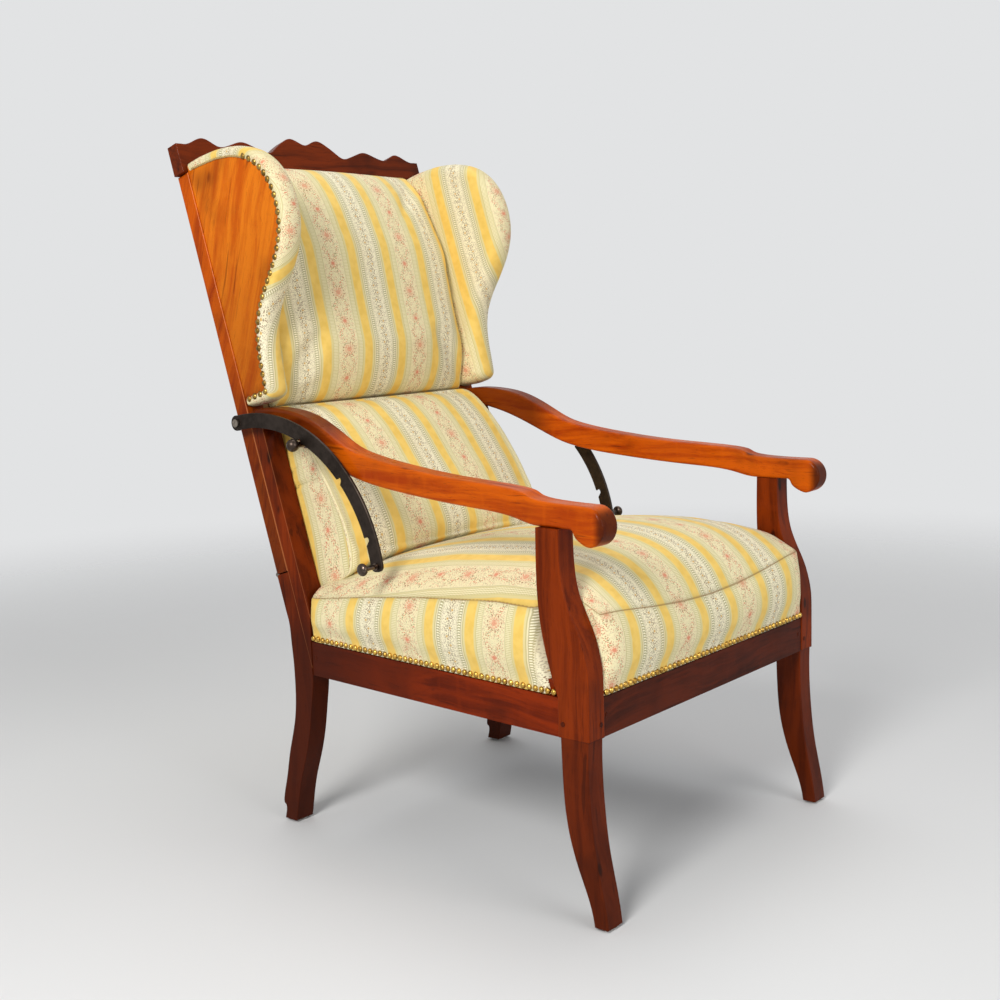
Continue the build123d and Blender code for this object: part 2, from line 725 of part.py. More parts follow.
def front_rail():
    half = front_inner_face - seat_gap
    with BuildPart() as rail:
        block(-half, half, front_rail_y, front_rail_rear_y, rail_bottom, rail_face_top)
        block(-half, half, front_rail_y + cover_recess, front_rail_rear_y, rail_face_top, rail_top)
        block(
            -front_inner_face - tenon_length, front_inner_face + tenon_length,
            front_tenon_y - tenon_thickness / 2, front_tenon_y + tenon_thickness / 2,
            tenon_low, tenon_high,
        )
        for side, sign in sides:
            cross_rod(
                sign * front_peg_x, front_y - overrun, front_y + peg_length + fit_gap,
                peg_height, peg_radius + fit_gap, mode=Mode.SUBTRACT,
            )
            cross_rod(
                sign * front_plug_x, front_rail_y - overrun,
                front_rail_y + rail_thickness / 2 + fit_gap,
                plug_height, peg_radius + fit_gap, mode=Mode.SUBTRACT,
            )
    finish(rail, "front_seat_rail")


def rear_rail():
    half = rear_inner_face - seat_gap
    with BuildPart() as rail:
        block(-half, half, rear_rail_front_y, rear_rail_rear_y, rail_bottom, rail_face_top)
        block(-half, half, rear_rail_front_y, rear_rail_rear_y - cover_recess, rail_face_top, rail_top)
        block(
            -rear_inner_face - tenon_length, rear_inner_face + tenon_length,
            rear_tenon_y - tenon_thickness / 2, rear_tenon_y + tenon_thickness / 2,
            tenon_low, tenon_high,
        )
    finish(rail, "rear_seat_rail")


def pegs():
    with BuildPart() as group:
        for side, sign in sides:
            out = front_half_width + peg_proud
            rod(sign * out, sign * (out - peg_length), side_peg_y, peg_height, peg_radius)
            cross_rod(
                sign * front_peg_x, front_y - peg_proud, front_y + peg_length - peg_proud,
                peg_height, peg_radius,
            )
            face = rail_line(side_plug_y, rail_setback)
            rod(
                sign * (face + peg_proud), sign * (face - rail_thickness / 2),
                side_plug_y, plug_height, peg_radius,
            )
            cross_rod(
                sign * front_plug_x, front_rail_y - peg_proud, front_rail_y + rail_thickness / 2,
                plug_height, peg_radius,
            )
    finish(group, "tenon_pegs")


def corner_blocks():
    low, high = rail_bottom + block_inset, rail_face_top - seat_gap
    inner = rail_setback + rail_thickness + seat_gap
    front, rear = front_rail_rear_y + seat_gap, rear_rail_front_y - seat_gap
    with BuildPart() as group:
        for side, sign in sides:
            edge, step = front_inner_face - seat_gap, rail_end_front_y + seat_gap
            stop = step + block_leg
            slab(
                [
                    (sign * (edge - block_leg), front), (sign * edge, front), (sign * edge, step),
                    (sign * rail_line(step, inner), step), (sign * rail_line(stop, inner), stop),
                ],
                low, high,
            )
            edge, step = rear_inner_face - seat_gap, rail_end_rear_y - seat_gap
            stop = step - block_leg
            slab(
                [
                    (sign * (edge - block_leg), rear), (sign * edge, rear), (sign * edge, step),
                    (sign * rail_line(step, inner), step), (sign * rail_line(stop, inner), stop),
                ],
                low, high,
            )
    finish(group, "corner_blocks")


def seat_plan(inset):
    """Outline of the seat frame this far inside its faces, notched around the legs."""
    front, rear = front_rail_y + inset, rear_rail_rear_y - inset
    front_step, rear_step = rail_end_front_y + inset, rail_end_rear_y - inset
    narrow_front, narrow_rear = front_inner_face - pad_gap, rear_inner_face - pad_gap
    half = [
        (narrow_front, front), (narrow_front, front_step), (rail_line(front_step, inset), front_step),
        (rail_line(rear_step, inset), rear_step), (narrow_rear, rear_step), (narrow_rear, rear),
    ]
    return half + [(-x, y) for x, y in half[::-1]]


def webbing():
    ends = strap_turn_in
    with BuildPart() as group:
        for place in range(strap_count):
            offset = (place - (strap_count - 1) / 2) * strap_pitch
            block(
                offset - strap_width / 2, offset + strap_width / 2,
                front_rail_y + ends, rear_rail_rear_y - ends,
                webbing_top - strap_thickness, webbing_top,
            )
            y = spring_rows_y + offset
            half = rail_line(y + strap_width / 2, rail_setback) - ends
            low = webbing_top - 2 * strap_thickness - seat_gap
            block(
                -half, half, y - strap_width / 2, y + strap_width / 2, low, low + strap_thickness
            )
    finish(group, "seat_webbing")


def springs():
    low, high = webbing_top + seat_gap, rail_top
    height = high - low - 2 * spring_wire_radius
    start = low + spring_wire_radius
    with BuildPart() as group:
        with BuildLine():
            Helix(
                pitch=height / spring_turns, height=height, radius=spring_radius,
                center=(0, spring_rows_y, start),
            )
        with BuildSketch(Plane(origin=(spring_radius, spring_rows_y, start), z_dir=(0, 1, 0))):
            Circle(spring_wire_radius)
        sweep(is_frenet=True)
    coil = group.part
    with BuildPart() as group:
        with GridLocations(spring_pitch_across, spring_pitch_along, spring_count, spring_count):
            add(coil)
    finish(group, "seat_springs")


def hessian():
    low = rail_top + seat_gap
    with BuildPart() as sheet:
        slab(seat_plan(cloth_inset), low, low + cloth_thickness)
    finish(sheet, "seat_hessian")


def bottoming():
    top = webbing_top - 2 * strap_thickness - 2 * seat_gap
    with BuildPart() as sheet:
        slab(seat_plan(cloth_inset), top - cloth_thickness, top)
    finish(sheet, "bottoming_cloth")


def seat():
    start, stop = front_rail_y - seat_front_bulge, rear_rail_rear_y
    low = rail_face_top + seat_gap
    band = rail_face_top + nail_band
    seam_low = rail_face_top + seam_rear_rise
    seam_range = seam_front_rise - seam_rear_rise
    with BuildPart() as cushion:
        for place, seam_share, crown_share in seat_shares:
            y = start + place * (stop - start)
            half = rail_line(y, rail_setback)
            seam = seam_low + seam_share * seam_range
            crown = crown_share * seat_crown
            side = (seam + band) / 2
            right = [(-half * share, seam + crown * rise) for share, rise in crown_shares[::-1]]
            left = [(-x, z) for x, z in right[:-1][::-1]]
            with BuildSketch(Plane(origin=(0, y, 0), x_dir=(1, 0, 0), z_dir=(0, -1, 0))):
                with BuildLine():
                    Polyline((-half, band), (-half, low), (half, low), (half, band))
                    ThreePointArc((half, band), (half + seat_side_bulge, side), (half, seam))
                    Spline((half, seam), *left[::-1], *right[::-1], (-half, seam))
                    ThreePointArc((-half, seam), (-half - seat_side_bulge, side), (-half, band))
                make_face()
        loft()
        front_cut = rail_end_front_y + support_rake + support_depth - block_depth + pad_gap
        rear_cut = rail_end_rear_y - pad_gap
        wide = front_half_width + overrun + seat_side_bulge + scroll_radius
        tall = arm_front_height
        for side, sign in sides:
            block(
                sign * (front_inner_face - pad_gap), sign * wide,
                start - overrun, front_cut, low - overrun, tall, mode=Mode.SUBTRACT,
            )
            block(
                sign * (rear_inner_face - pad_gap), sign * wide,
                rear_cut, stop + overrun, low - overrun, tall, mode=Mode.SUBTRACT,
            )
        block(-wide, wide, start - overrun, front_rail_y, low - overrun, band, mode=Mode.SUBTRACT)
        front, rear = front_rail_y + strip_gap, rear_rail_rear_y - strip_gap
        inset = rail_setback + strip_gap
        slab(
            [
                (-rail_line(front, inset), front), (rail_line(front, inset), front),
                (rail_line(rear, inset), rear), (-rail_line(rear, inset), rear),
            ],
            low - overrun, cavity_top, mode=Mode.SUBTRACT,
        )
    finish(cushion, "seat_cushion")


def row(length, pitch):
    """Places along a length, evenly spaced about its middle."""
    count = int(length / pitch)
    return [(place - (count - 1) / 2) * pitch for place in range(count)]


def nail_heads(at):
    with Locations(at):
        Cone(
            nail_radius, nail_tip_radius, nail_height,
            align=(Align.CENTER, Align.CENTER, Align.MIN),
        )


def seat_nails():
    height = rail_face_top + nail_rise
    with BuildPart() as group:
        front = Plane(origin=(0, front_rail_y - seat_gap, height), x_dir=(1, 0, 0), z_dir=(0, -1, 0))
        places = row(2 * (front_inner_face - pad_gap - nail_radius), nail_pitch)
        nail_heads([front.location * Location((x, 0, 0)) for x in places])
        rear = Plane(origin=(0, rear_rail_rear_y + seat_gap, height), x_dir=(1, 0, 0), z_dir=(0, 1, 0))
        places = row(2 * (rear_inner_face - pad_gap - nail_radius), nail_pitch)
        nail_heads([rear.location * Location((x, 0, 0)) for x in places])
        start = rail_end_front_y + support_rake + support_depth - block_depth + nail_radius + pad_gap
        stop = rail_end_rear_y - nail_radius - pad_gap
        middle = (start + stop) / 2
        slope = atan2(front_half_width - rear_half_width, rail_end_rear_y - rail_end_front_y)
        for side, sign in sides:
            out = Plane(
                origin=(sign * (rail_line(middle, rail_setback) + seat_gap), middle, height),
                x_dir=(-sign * sin(slope), cos(slope), 0),
                z_dir=(sign * cos(slope), sin(slope), 0),
            )
            places = row((stop - start) / cos(slope), nail_pitch)
            nail_heads([out.location * Location((place, 0, 0)) for place in places])
    finish(group, "seat_nails")


def glides():
    with BuildPart() as group:
        for side, sign in sides:
            for x, y in ((front_leg_x, front_foot_y), (rear_leg_x, rear_foot_y)):
                with Locations((sign * x, y, 0)):
                    Cone(
                        glide_flat_radius, glide_radius, glide_height - seat_gap,
                        align=(Align.CENTER, Align.CENTER, Align.MIN),
                    )
                standing_rod(sign * x, y, glide_height / 2, glide_shank_top, glide_shank_radius)
    finish(group, "foot_glides")


def studs():
    with BuildPart() as group:
        for side, sign in sides:
            face = arm_line(stud_y)
            rod(sign * (face - stud_depth), sign * (face + seat_gap * 2), stud_y, stud_z, stud_shank_radius)
            collar = face + seat_gap * 2 + stud_collar_height
            rod(sign * (face + seat_gap * 2), sign * collar, stud_y, stud_z, stud_collar_radius)
            rod(sign * collar, sign * ball_x, stud_y, stud_z, stud_radius)
            with Locations((sign * ball_x, stud_y, stud_z)):
                Sphere(ball_radius)
    finish(group, "ratchet_studs")


def hinge_leaves(name, way):
    """Leaves let into the legs below the axis, or into the stiles above it."""
    near, far = way * (knuckle_radius + seat_gap), way * leaf_length
    half_middle = hinge_width * moving_knuckle_share / 2
    with BuildPart() as group:
        for side, sign in sides:
            lean_block(
                sign * (rear_leg_x - hinge_half), sign * (rear_leg_x + hinge_half), near, far,
                stile_rear, stile_rear + leaf_thickness,
            )
            if way > 0:
                spans = [(-half_middle + seat_gap, half_middle - seat_gap)]
            else:
                spans = [(-hinge_half, -half_middle), (half_middle, hinge_half)]
            for low, high in spans:
                lean_block(
                    rear_leg_x * sign + low, rear_leg_x * sign + high, 0, near + way * seat_gap,
                    stile_rear, stile_rear + leaf_thickness,
                )
                rod(
                    rear_leg_x * sign + low, rear_leg_x * sign + high,
                    hinge_y, hinge_height, knuckle_radius,
                )
            rod(
                sign * (rear_leg_x - hinge_width), sign * (rear_leg_x + hinge_width),
                hinge_y, hinge_height, hinge_pin_radius + fit_gap, mode=Mode.SUBTRACT,
            )
            leaf_screws(sign, way, fit_gap, Mode.SUBTRACT)
    finish(group, name)


def hinge_screws(name, way):
    with BuildPart() as group:
        for side, sign in sides:
            leaf_screws(sign, way, 0)
    finish(group, name)


def hinge_pins():
    with BuildPart() as group:
        for side, sign in sides:
            rod(
                sign * (rear_leg_x - hinge_half), sign * (rear_leg_x + hinge_half),
                hinge_y, hinge_height, hinge_pin_radius,
            )
    finish(group, "hinge_pins")


def back_rail_mortise(sign, at, height):
    shoulder = (height - tenon_thickness) / 4
    middle = back_rail_rear + back_rail_depth / 2
    lean_block(
        sign * (stile_inner_face - overrun), sign * (stile_inner_face + tenon_length + fit_gap),
        at + shoulder - fit_gap, at + height - shoulder + fit_gap,
        middle - tenon_thickness / 2 - fit_gap, middle + tenon_thickness / 2 + fit_gap,
        mode=Mode.SUBTRACT,
    )


def stile(side, sign):
    middle = stile_rear + stile_depth / 2
    with BuildPart() as post:
        lean_block(
            sign * stile_inner_face, sign * rear_half_width, step_gap, stile_length,
            stile_rear, stile_front,
        )
        soften(post.faces().filter_by(Axis.X), leg_round)
        lean_block(
            sign * rear_leg_x - tenon_thickness / 2, sign * rear_leg_x + tenon_thickness / 2,
            stile_length - overrun, stile_length + tenon_length,
            middle - tenon_thickness / 2, middle + tenon_thickness / 2,
        )
        back_rail_mortise(sign, bottom_rail_at, bottom_rail_height)
        back_rail_mortise(sign, middle_rail_at, middle_rail_height)
        leaf_pocket(sign, 1)
        rod(
            sign * (rear_half_width + overrun), sign * (rear_half_width - pivot_depth - fit_gap),
            eye_y, eye_z, pivot_radius + fit_gap, mode=Mode.SUBTRACT,
        )
    finish(post, f"back_stile_{side}")


def back_rail(name, at, height):
    middle = back_rail_rear + back_rail_depth / 2
    half = stile_inner_face - seat_gap
    shoulder = (height - tenon_thickness) / 4
    with BuildPart() as rail:
        lean_block(-half, half, at, at + height, back_rail_rear, back_rail_front)
        reach = stile_inner_face + tenon_length
        lean_block(
            -reach, reach, at + shoulder, at + height - shoulder,
            middle - tenon_thickness / 2, middle + tenon_thickness / 2,
        )
    finish(rail, name)


def crest():
    low = crest_bottom_at + seat_gap
    high = crest_bottom_at + crest_end_height
    wave = [(share * crest_half_length, high + rise * crest_peak) for share, rise in crest_shares]
    points = [(-x, along) for x, along in wave[:0:-1]] + wave
    middle = stile_rear + stile_depth / 2
    with BuildPart() as rail:
        with BuildSketch(front_view(back_rail_rear)):
            with BuildLine():
                Spline(*points)
                Polyline(
                    points[-1], (crest_half_length, high), (crest_half_length, low),
                    (-crest_half_length, low), (-crest_half_length, high), points[0],
                )
            make_face()
        extrude(amount=stile_front - back_rail_rear)
        ends = rail.faces().filter_by(Axis((0, 0, 0), (0, -lean_cos, lean_sin)))
        soften(ends, crest_round)
        half = stile_inner_face - seat_gap
        lean_block(
            -half, half, crest_bottom_at - crest_ledge, low + overrun, back_rail_rear, back_rail_front
        )
        for side, sign in sides:
            lean_block(
                sign * rear_leg_x - tenon_thickness / 2 - fit_gap,
                sign * rear_leg_x + tenon_thickness / 2 + fit_gap,
                low - overrun, stile_length + tenon_length + fit_gap,
                middle - tenon_thickness / 2 - fit_gap, middle + tenon_thickness / 2 + fit_gap,
                mode=Mode.SUBTRACT,
            )
    finish(rail, "crest_rail")


def wing_curve(lip):
    """Points of a wing's front edge, from the bottom up, stood out by the lip."""
    points = []
    for rise, reach in wing_shares:
        grown = stile_front + reach * wing_reach + lip
        points.append((grown, wing_bottom_at + rise * wing_height))
    return points


def wing_face(lip):
    """Draws a wing's outline in the back plane's own directions."""
    points = wing_curve(lip)
    top = (pad_back, wing_bottom_at + wing_height)
    bottom = (pad_back, wing_bottom_at)
    Spline(*points)
    Polyline(points[-1], top, bottom, points[0])


def wing_panel(side, sign):
    outer = rear_half_width - wing_recess
    with BuildPart() as panel:
        with BuildSketch(back_plane(sign * outer)):
            with BuildLine():
                wing_face(0)
            make_face()
        extrude(amount=sign * wing_thickness)
    finish(panel, f"wing_panel_{side}")


def wing_pad(side, sign):
    outer = rear_half_width - wing_recess - wing_thickness - seat_gap
    with BuildPart() as pad:
        for depth, lip in wing_pad_shares:
            with BuildSketch(back_plane(sign * (outer - depth * wing_pad_thickness))):
                with BuildLine():
                    wing_face(lip * wing_pad_lip)
                make_face()
        loft()
    finish(pad, f"wing_pad_{side}")


def wing_nails():
    face = rear_half_width - wing_recess + seat_gap
    bow = Edge.make_spline([Vector(forward, along, 0) for forward, along in wing_curve(0)])
    count = int(bow.length / wing_nail_pitch)
    places = []
    for place in range(count + 1):
        share = place / count
        point, along = bow.position_at(share), bow.tangent_at(share)
        places.append((point.X - along.Y * wing_nail_inset, point.Y + along.X * wing_nail_inset))
    low = [
        (forward, along) for forward, along in places
        if wing_bottom_at + wing_nail_inset < along < wing_bottom_at + wing_height - wing_nail_inset
        and forward > stile_front + wing_nail_inset
    ]
    depth = wing_shares[0][1] * wing_reach - 2 * wing_nail_inset
    for offset in row(depth, wing_nail_pitch):
        forward = stile_front + wing_nail_inset + depth / 2 + offset
        low.append((forward, wing_bottom_at + wing_nail_inset))
    with BuildPart() as group:
        for side, sign in sides:
            heads = []
            for forward, along in low:
                y, z = lean_point(along, forward)
                heads.append(Location((sign * face, y, z), (0, sign * 90, 0)))
            nail_heads(heads)
    finish(group, "wing_nails")


def stuffed_pad(name, low, high, half, shares, fullness, crown, narrow=None):
    """Back pad lofted up the back from sections with a crowned front and drawn-in sides."""
    with BuildPart() as pad:
        for rise, reach in shares:
            width = half
            if narrow and rise > narrow[0]:
                width = half * narrow[1]
            front = reach * fullness
            with BuildSketch(across_back(low + rise * (high - low))):
                with BuildLine():
                    right, left = (width - pad_draw, front), (-width + pad_draw, front)
                    Polyline(left, (-width, pad_back), (width, pad_back), right)
                    ThreePointArc(right, (0, front + crown), left)
                make_face()
        loft()
    finish(pad, name)


def back_straps():
    low, high = bottom_rail_at + block_inset, crest_bottom_at - block_inset
    front = back_rail_front + seat_gap
    with BuildPart() as group:
        for place in range(strap_count):
            offset = (place - (strap_count - 1) / 2) * strap_pitch
            lean_block(
                offset - strap_width / 2, offset + strap_width / 2, low, high,
                front, front + strap_thickness,
            )
    finish(group, "back_webbing")


def back_cover():
    half = rear_half_width - cover_inset
    rear = stile_rear - seat_gap
    with BuildPart() as sheet:
        lean_block(
            -half, half, cover_bottom_at, stile_length - seat_gap, rear - cover_thickness, rear
        )
    finish(sheet, "outside_back_cover")


def pivots():
    with BuildPart() as group:
        for side, sign in sides:
            collar = rear_half_width + seat_gap
            head = bar_outer_face + seat_gap
            rod(sign * (rear_half_width - pivot_depth), sign * head, eye_y, eye_z, pivot_radius)
            rod(sign * collar, sign * (bar_inner_face - seat_gap), eye_y, eye_z, pivot_collar_radius)
            rod(sign * head, sign * (head + pivot_head_height), eye_y, eye_z, pivot_head_radius)
    finish(group, "ratchet_pivots")


def notch_points(place):
    """Outline of one notch: where the stud comes in, where it seats and the lead behind it."""
    turn = notch_deg + place * recline_step_deg
    seat_radius = stud_radius + lift_clearance
    start = Vector(*flat_point(stud_orbit, turn))
    eye = Vector(*flat_point(bar_mid_radius, bar_top_deg))
    end = eye + (start - eye).rotate(Axis.Z, drop_deg)
    way = (end - start).normalized()
    across = Vector(way.Y, -way.X)
    mouth = start - way * stud_radius
    lead = mouth - across * (seat_radius + notch_lead)
    outline = [
        mouth + across * seat_radius, end + across * seat_radius,
        end - across * seat_radius, lead,
    ]
    return end, seat_radius, outline


def ratchet_bar(side, sign):
    outer, rim = bar_outer_radius, bar_rim_radius
    middle = (bar_top_deg + bar_end_deg) / 2
    with BuildPart() as bar:
        with BuildSketch(hinge_plane(sign * bar_inner_face)):
            with BuildLine():
                ThreePointArc(*[flat_point(outer, turn) for turn in (bar_top_deg, middle, bar_end_deg)])
                Line(flat_point(outer, bar_end_deg), flat_point(rim, bar_end_deg))
                ThreePointArc(*[flat_point(rim, turn) for turn in (bar_end_deg, middle, bar_top_deg)])
                Line(flat_point(rim, bar_top_deg), flat_point(outer, bar_top_deg))
            face = make_face()
            corners = face.vertices().sort_by_distance(Vector(*flat_point(bar_mid_radius, bar_end_deg)))
            fillet(corners[:2], bar_end_radius)
            with Locations(flat_point(bar_mid_radius, bar_top_deg)):
                Circle(bar_eye_radius)
            for place in range(notch_count):
                end, seat_radius, outline = notch_points(place)
                with Locations((end.X, end.Y)):
                    Circle(seat_radius, mode=Mode.SUBTRACT)
                with BuildLine():
                    Polyline(*[(point.X, point.Y) for point in outline], close=True)
                make_face(mode=Mode.SUBTRACT)
            with Locations(flat_point(bar_mid_radius, bar_top_deg)):
                Circle(pivot_radius + fit_gap, mode=Mode.SUBTRACT)
            with Locations(flat_point(bar_mid_radius, handle_deg)):
                Circle(handle_radius + fit_gap, mode=Mode.SUBTRACT)
        extrude(amount=-sign * bar_thickness)
        rims = bar.edges().filter_by(GeomType.CIRCLE)
        rims = [edge for edge in rims if abs(edge.radius - bar_outer_radius) < bar_round]
        chamfer(rims, bar_round)
    finish(bar, f"ratchet_bar_{side}")


def ratchet_knob(side, sign):
    bead = bar_outer_face + seat_gap
    depth = knob_radius * knob_depth_share
    neck_deg = degrees(asin(handle_radius / knob_radius))
    with BuildPart() as knob:
        with BuildSketch(Plane(origin=(0, knob_y, knob_z), x_dir=(sign, 0, 0), z_dir=(0, -sign, 0))):
            with BuildLine():
                ball = EllipticalCenterArc((knob_x, 0), depth, knob_radius, 0, arc_size=180 - neck_deg)
                Polyline(
                    ball @ 1, (bead + rivet_height, handle_radius), (bead + rivet_height, rivet_radius),
                    (bead, rivet_radius), (bead, handle_radius), (bar_inner_face, handle_radius),
                    (bar_inner_face, 0), (knob_x + depth, 0),
                )
            make_face()
        revolve(axis=Axis((0, knob_y, knob_z), (1, 0, 0)))
    finish(knob, f"ratchet_knob_{side}")


os.makedirs("parts", exist_ok=True)
for side, sign in sides:
    front_leg(side, sign)
    rear_leg(side, sign)
    arm(side, sign)
    side_rail(side, sign)
    stile(side, sign)
    wing_panel(side, sign)
    wing_pad(side, sign)
    ratchet_bar(side, sign)
    ratchet_knob(side, sign)
front_rail()
rear_rail()
pegs()
corner_blocks()
webbing()
springs()
hessian()
bottoming()
seat()
seat_nails()
glides()
studs()
hinge_leaves("hinge_fixed_leaves", -1)
hinge_leaves("hinge_moving_leaves", 1)
hinge_screws("hinge_fixed_screws", -1)
hinge_screws("hinge_moving_screws", 1)
hinge_pins()
back_rail("back_bottom_rail", bottom_rail_at, bottom_rail_height)
back_rail("back_middle_rail", middle_rail_at, middle_rail_height)
crest()
wing_nails()
stuffed_pad(
    "upper_back_pad", upper_pad_bottom, upper_pad_top, upper_pad_half_width,
    upper_pad_shares, upper_pad_fullness, upper_pad_crown,
)
stuffed_pad(
    "lower_back_pad", lower_pad_bottom, lower_pad_top, lower_pad_half_width,
    lower_pad_shares, lower_pad_fullness, lower_pad_crown, (0.8, lower_pad_top_share),
)
back_straps()
back_cover()
pivots()
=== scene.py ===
# Reclining wing chair: wood, cloth, nails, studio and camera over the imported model
from functools import partial, reduce
from math import cos, pi, radians, sin

import bmesh
import bpy
import numpy as np
from mathutils import Matrix, Vector
from mathutils.kdtree import KDTree


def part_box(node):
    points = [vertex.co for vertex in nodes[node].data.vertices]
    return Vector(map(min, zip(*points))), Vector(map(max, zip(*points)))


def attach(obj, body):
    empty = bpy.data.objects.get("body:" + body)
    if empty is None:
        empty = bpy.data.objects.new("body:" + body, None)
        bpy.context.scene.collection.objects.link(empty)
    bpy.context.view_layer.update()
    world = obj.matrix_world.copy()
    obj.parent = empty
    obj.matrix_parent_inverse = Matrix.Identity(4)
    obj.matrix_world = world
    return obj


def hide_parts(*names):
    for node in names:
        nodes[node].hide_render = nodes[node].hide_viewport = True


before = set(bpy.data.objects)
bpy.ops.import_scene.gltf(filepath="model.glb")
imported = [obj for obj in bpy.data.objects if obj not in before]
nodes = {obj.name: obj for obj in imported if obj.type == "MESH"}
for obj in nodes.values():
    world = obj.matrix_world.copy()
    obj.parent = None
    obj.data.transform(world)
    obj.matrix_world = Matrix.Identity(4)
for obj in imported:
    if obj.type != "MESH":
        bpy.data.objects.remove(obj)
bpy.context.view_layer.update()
scene = bpy.context.scene
print("model loaded,", len(nodes), "nodes")

back = {"hingeY": 0.228828, "hingeZ": 0.411, "leanDeg": 16.8}  # the hinge axis, and the back's lean
slope = radians(back["leanDeg"])


def colour(red, green, blue):
    # screen colour 0..255 to the linear colour that a shader takes
    values = [v / 255 for v in (red, green, blue)]
    return tuple(v / 12.92 if v < 0.04045 else ((v + 0.055) / 1.055) ** 2.4 for v in values) + (1,)


def smooth(share):
    share = np.clip(share, 0, 1)
    return share * share * (3 - 2 * share)


def onBack(x, along, forward):
    # points given up along the back from the hinge and forward of it
    x, along, forward = np.broadcast_arrays(x, along, forward)
    y = back["hingeY"] + along * sin(slope) - forward * cos(slope)
    z = back["hingeZ"] + along * cos(slope) + forward * sin(slope)
    return np.stack([x, y, z], axis=-1).astype(float)


def fromBack(points):
    # the other way round: how far up along the back the points are, and how far forward
    behind, above = points[:, 1] - back["hingeY"], points[:, 2] - back["hingeZ"]
    return behind * sin(slope) + above * cos(slope), above * sin(slope) - behind * cos(slope)


def readOff(table, x):
    # the value at x on a curve given as (x, value) pairs
    return np.interp(x, *np.array(table).T)


def lineLength(points):
    # the length of a line up to each of its points
    return np.r_[0, np.cumsum(np.linalg.norm(np.diff(points, axis=0), axis=1))]


def evenly(points, count):
    # the same line with its points an even distance apart
    points = np.array(points, float)
    run = lineLength(points)
    places = np.linspace(0, run[-1], count)
    return np.stack([np.interp(places, run, column) for column in points.T], axis=-1)


def rounded(points, count):
    # a smooth line through the points, evenly spaced
    points = np.array(points, float)
    steps = np.maximum(np.linalg.norm(np.diff(points, axis=0), axis=1), 1e-9)
    slopes = np.diff(points, axis=0) / steps[:, None]
    weight = (steps[:-1] / (steps[:-1] + steps[1:]))[:, None]
    turns = np.concatenate([slopes[:1], slopes[:-1] * (1 - weight) + slopes[1:] * weight, slopes[-1:]])
    line = []
    for k, step in enumerate(steps):
        t = np.linspace(0, 1, 12, endpoint=False)[:, None]
        line.append(
            points[k] * (2 * t ** 3 - 3 * t ** 2 + 1) + points[k + 1] * (3 * t ** 2 - 2 * t ** 3)
            + turns[k] * step * (t ** 3 - 2 * t ** 2 + t) + turns[k + 1] * step * (t ** 3 - t ** 2)
        )
    return evenly(np.concatenate(line + [points[-1:]]), count)


def sewPanels(name, panels, merge=0.0002):
    # panels are (points, pattern places) on rows and columns; edges that meet are sewn together
    mesh = bpy.data.meshes.new(name)
    points, faces, places, start = [], [], [], 0
    for grid, pattern in panels:
        rows, columns = grid.shape[:2]
        points.append(grid.reshape(-1, 3))
        for i in range(rows - 1):
            for j in range(columns - 1):
                corners = ((i, j), (i + 1, j), (i + 1, j + 1), (i, j + 1))
                faces.append([start + r * columns + c for r, c in corners])
                places += [tuple(pattern[r, c]) for r, c in corners]
        start += rows * columns
    mesh.from_pydata(np.concatenate(points).tolist(), [], faces)
    layer = mesh.uv_layers.new(name="coverPlace")
    layer.data.foreach_set("uv", np.array(places, float).ravel())
    shape = bmesh.new()
    shape.from_mesh(mesh)
    bmesh.ops.remove_doubles(shape, verts=shape.verts, dist=merge)
    bmesh.ops.dissolve_degenerate(shape, edges=shape.edges, dist=merge / 4)
    bmesh.ops.recalc_face_normals(shape, faces=shape.faces)
    shape.to_mesh(mesh)
    shape.free()
    piece = bpy.data.objects.new(name, mesh)
    scene.collection.objects.link(piece)
    return piece


def readPoints(mesh):
    points = np.zeros(len(mesh.vertices) * 3)
    mesh.vertices.foreach_get("co", points)
    return points.reshape(-1, 3)


def writePoints(piece, points):
    piece.data.vertices.foreach_set("co", np.asarray(points, float).ravel())
    piece.data.update()


def markPoints(piece, name, values):
    mark = piece.data.attributes.get(name) or piece.data.attributes.new(name, "FLOAT", "POINT")
    mark.data.foreach_set("value", np.asarray(values, np.float32))


def nearest(points, line):
    # distance of each point to the nearest of the line's
    tree = KDTree(len(line))
    for index, point in enumerate(line):
        tree.insert(point, index)
    tree.balance()
    return np.array([tree.find(point)[2] for point in points])


def bake(piece):
    # the piece with its modifiers made into its own mesh
    result = bpy.data.meshes.new_from_object(piece.evaluated_get(bpy.context.evaluated_depsgraph_get()))
    piece.modifiers.clear()
    old = piece.data
    piece.data = result
    result.name = piece.name
    bpy.data.meshes.remove(old)
    return piece


stuffing = {"quality": 6, "mass": 0.35, "tension": 18, "shear": 8, "bending": 0.6, "frames": 18}


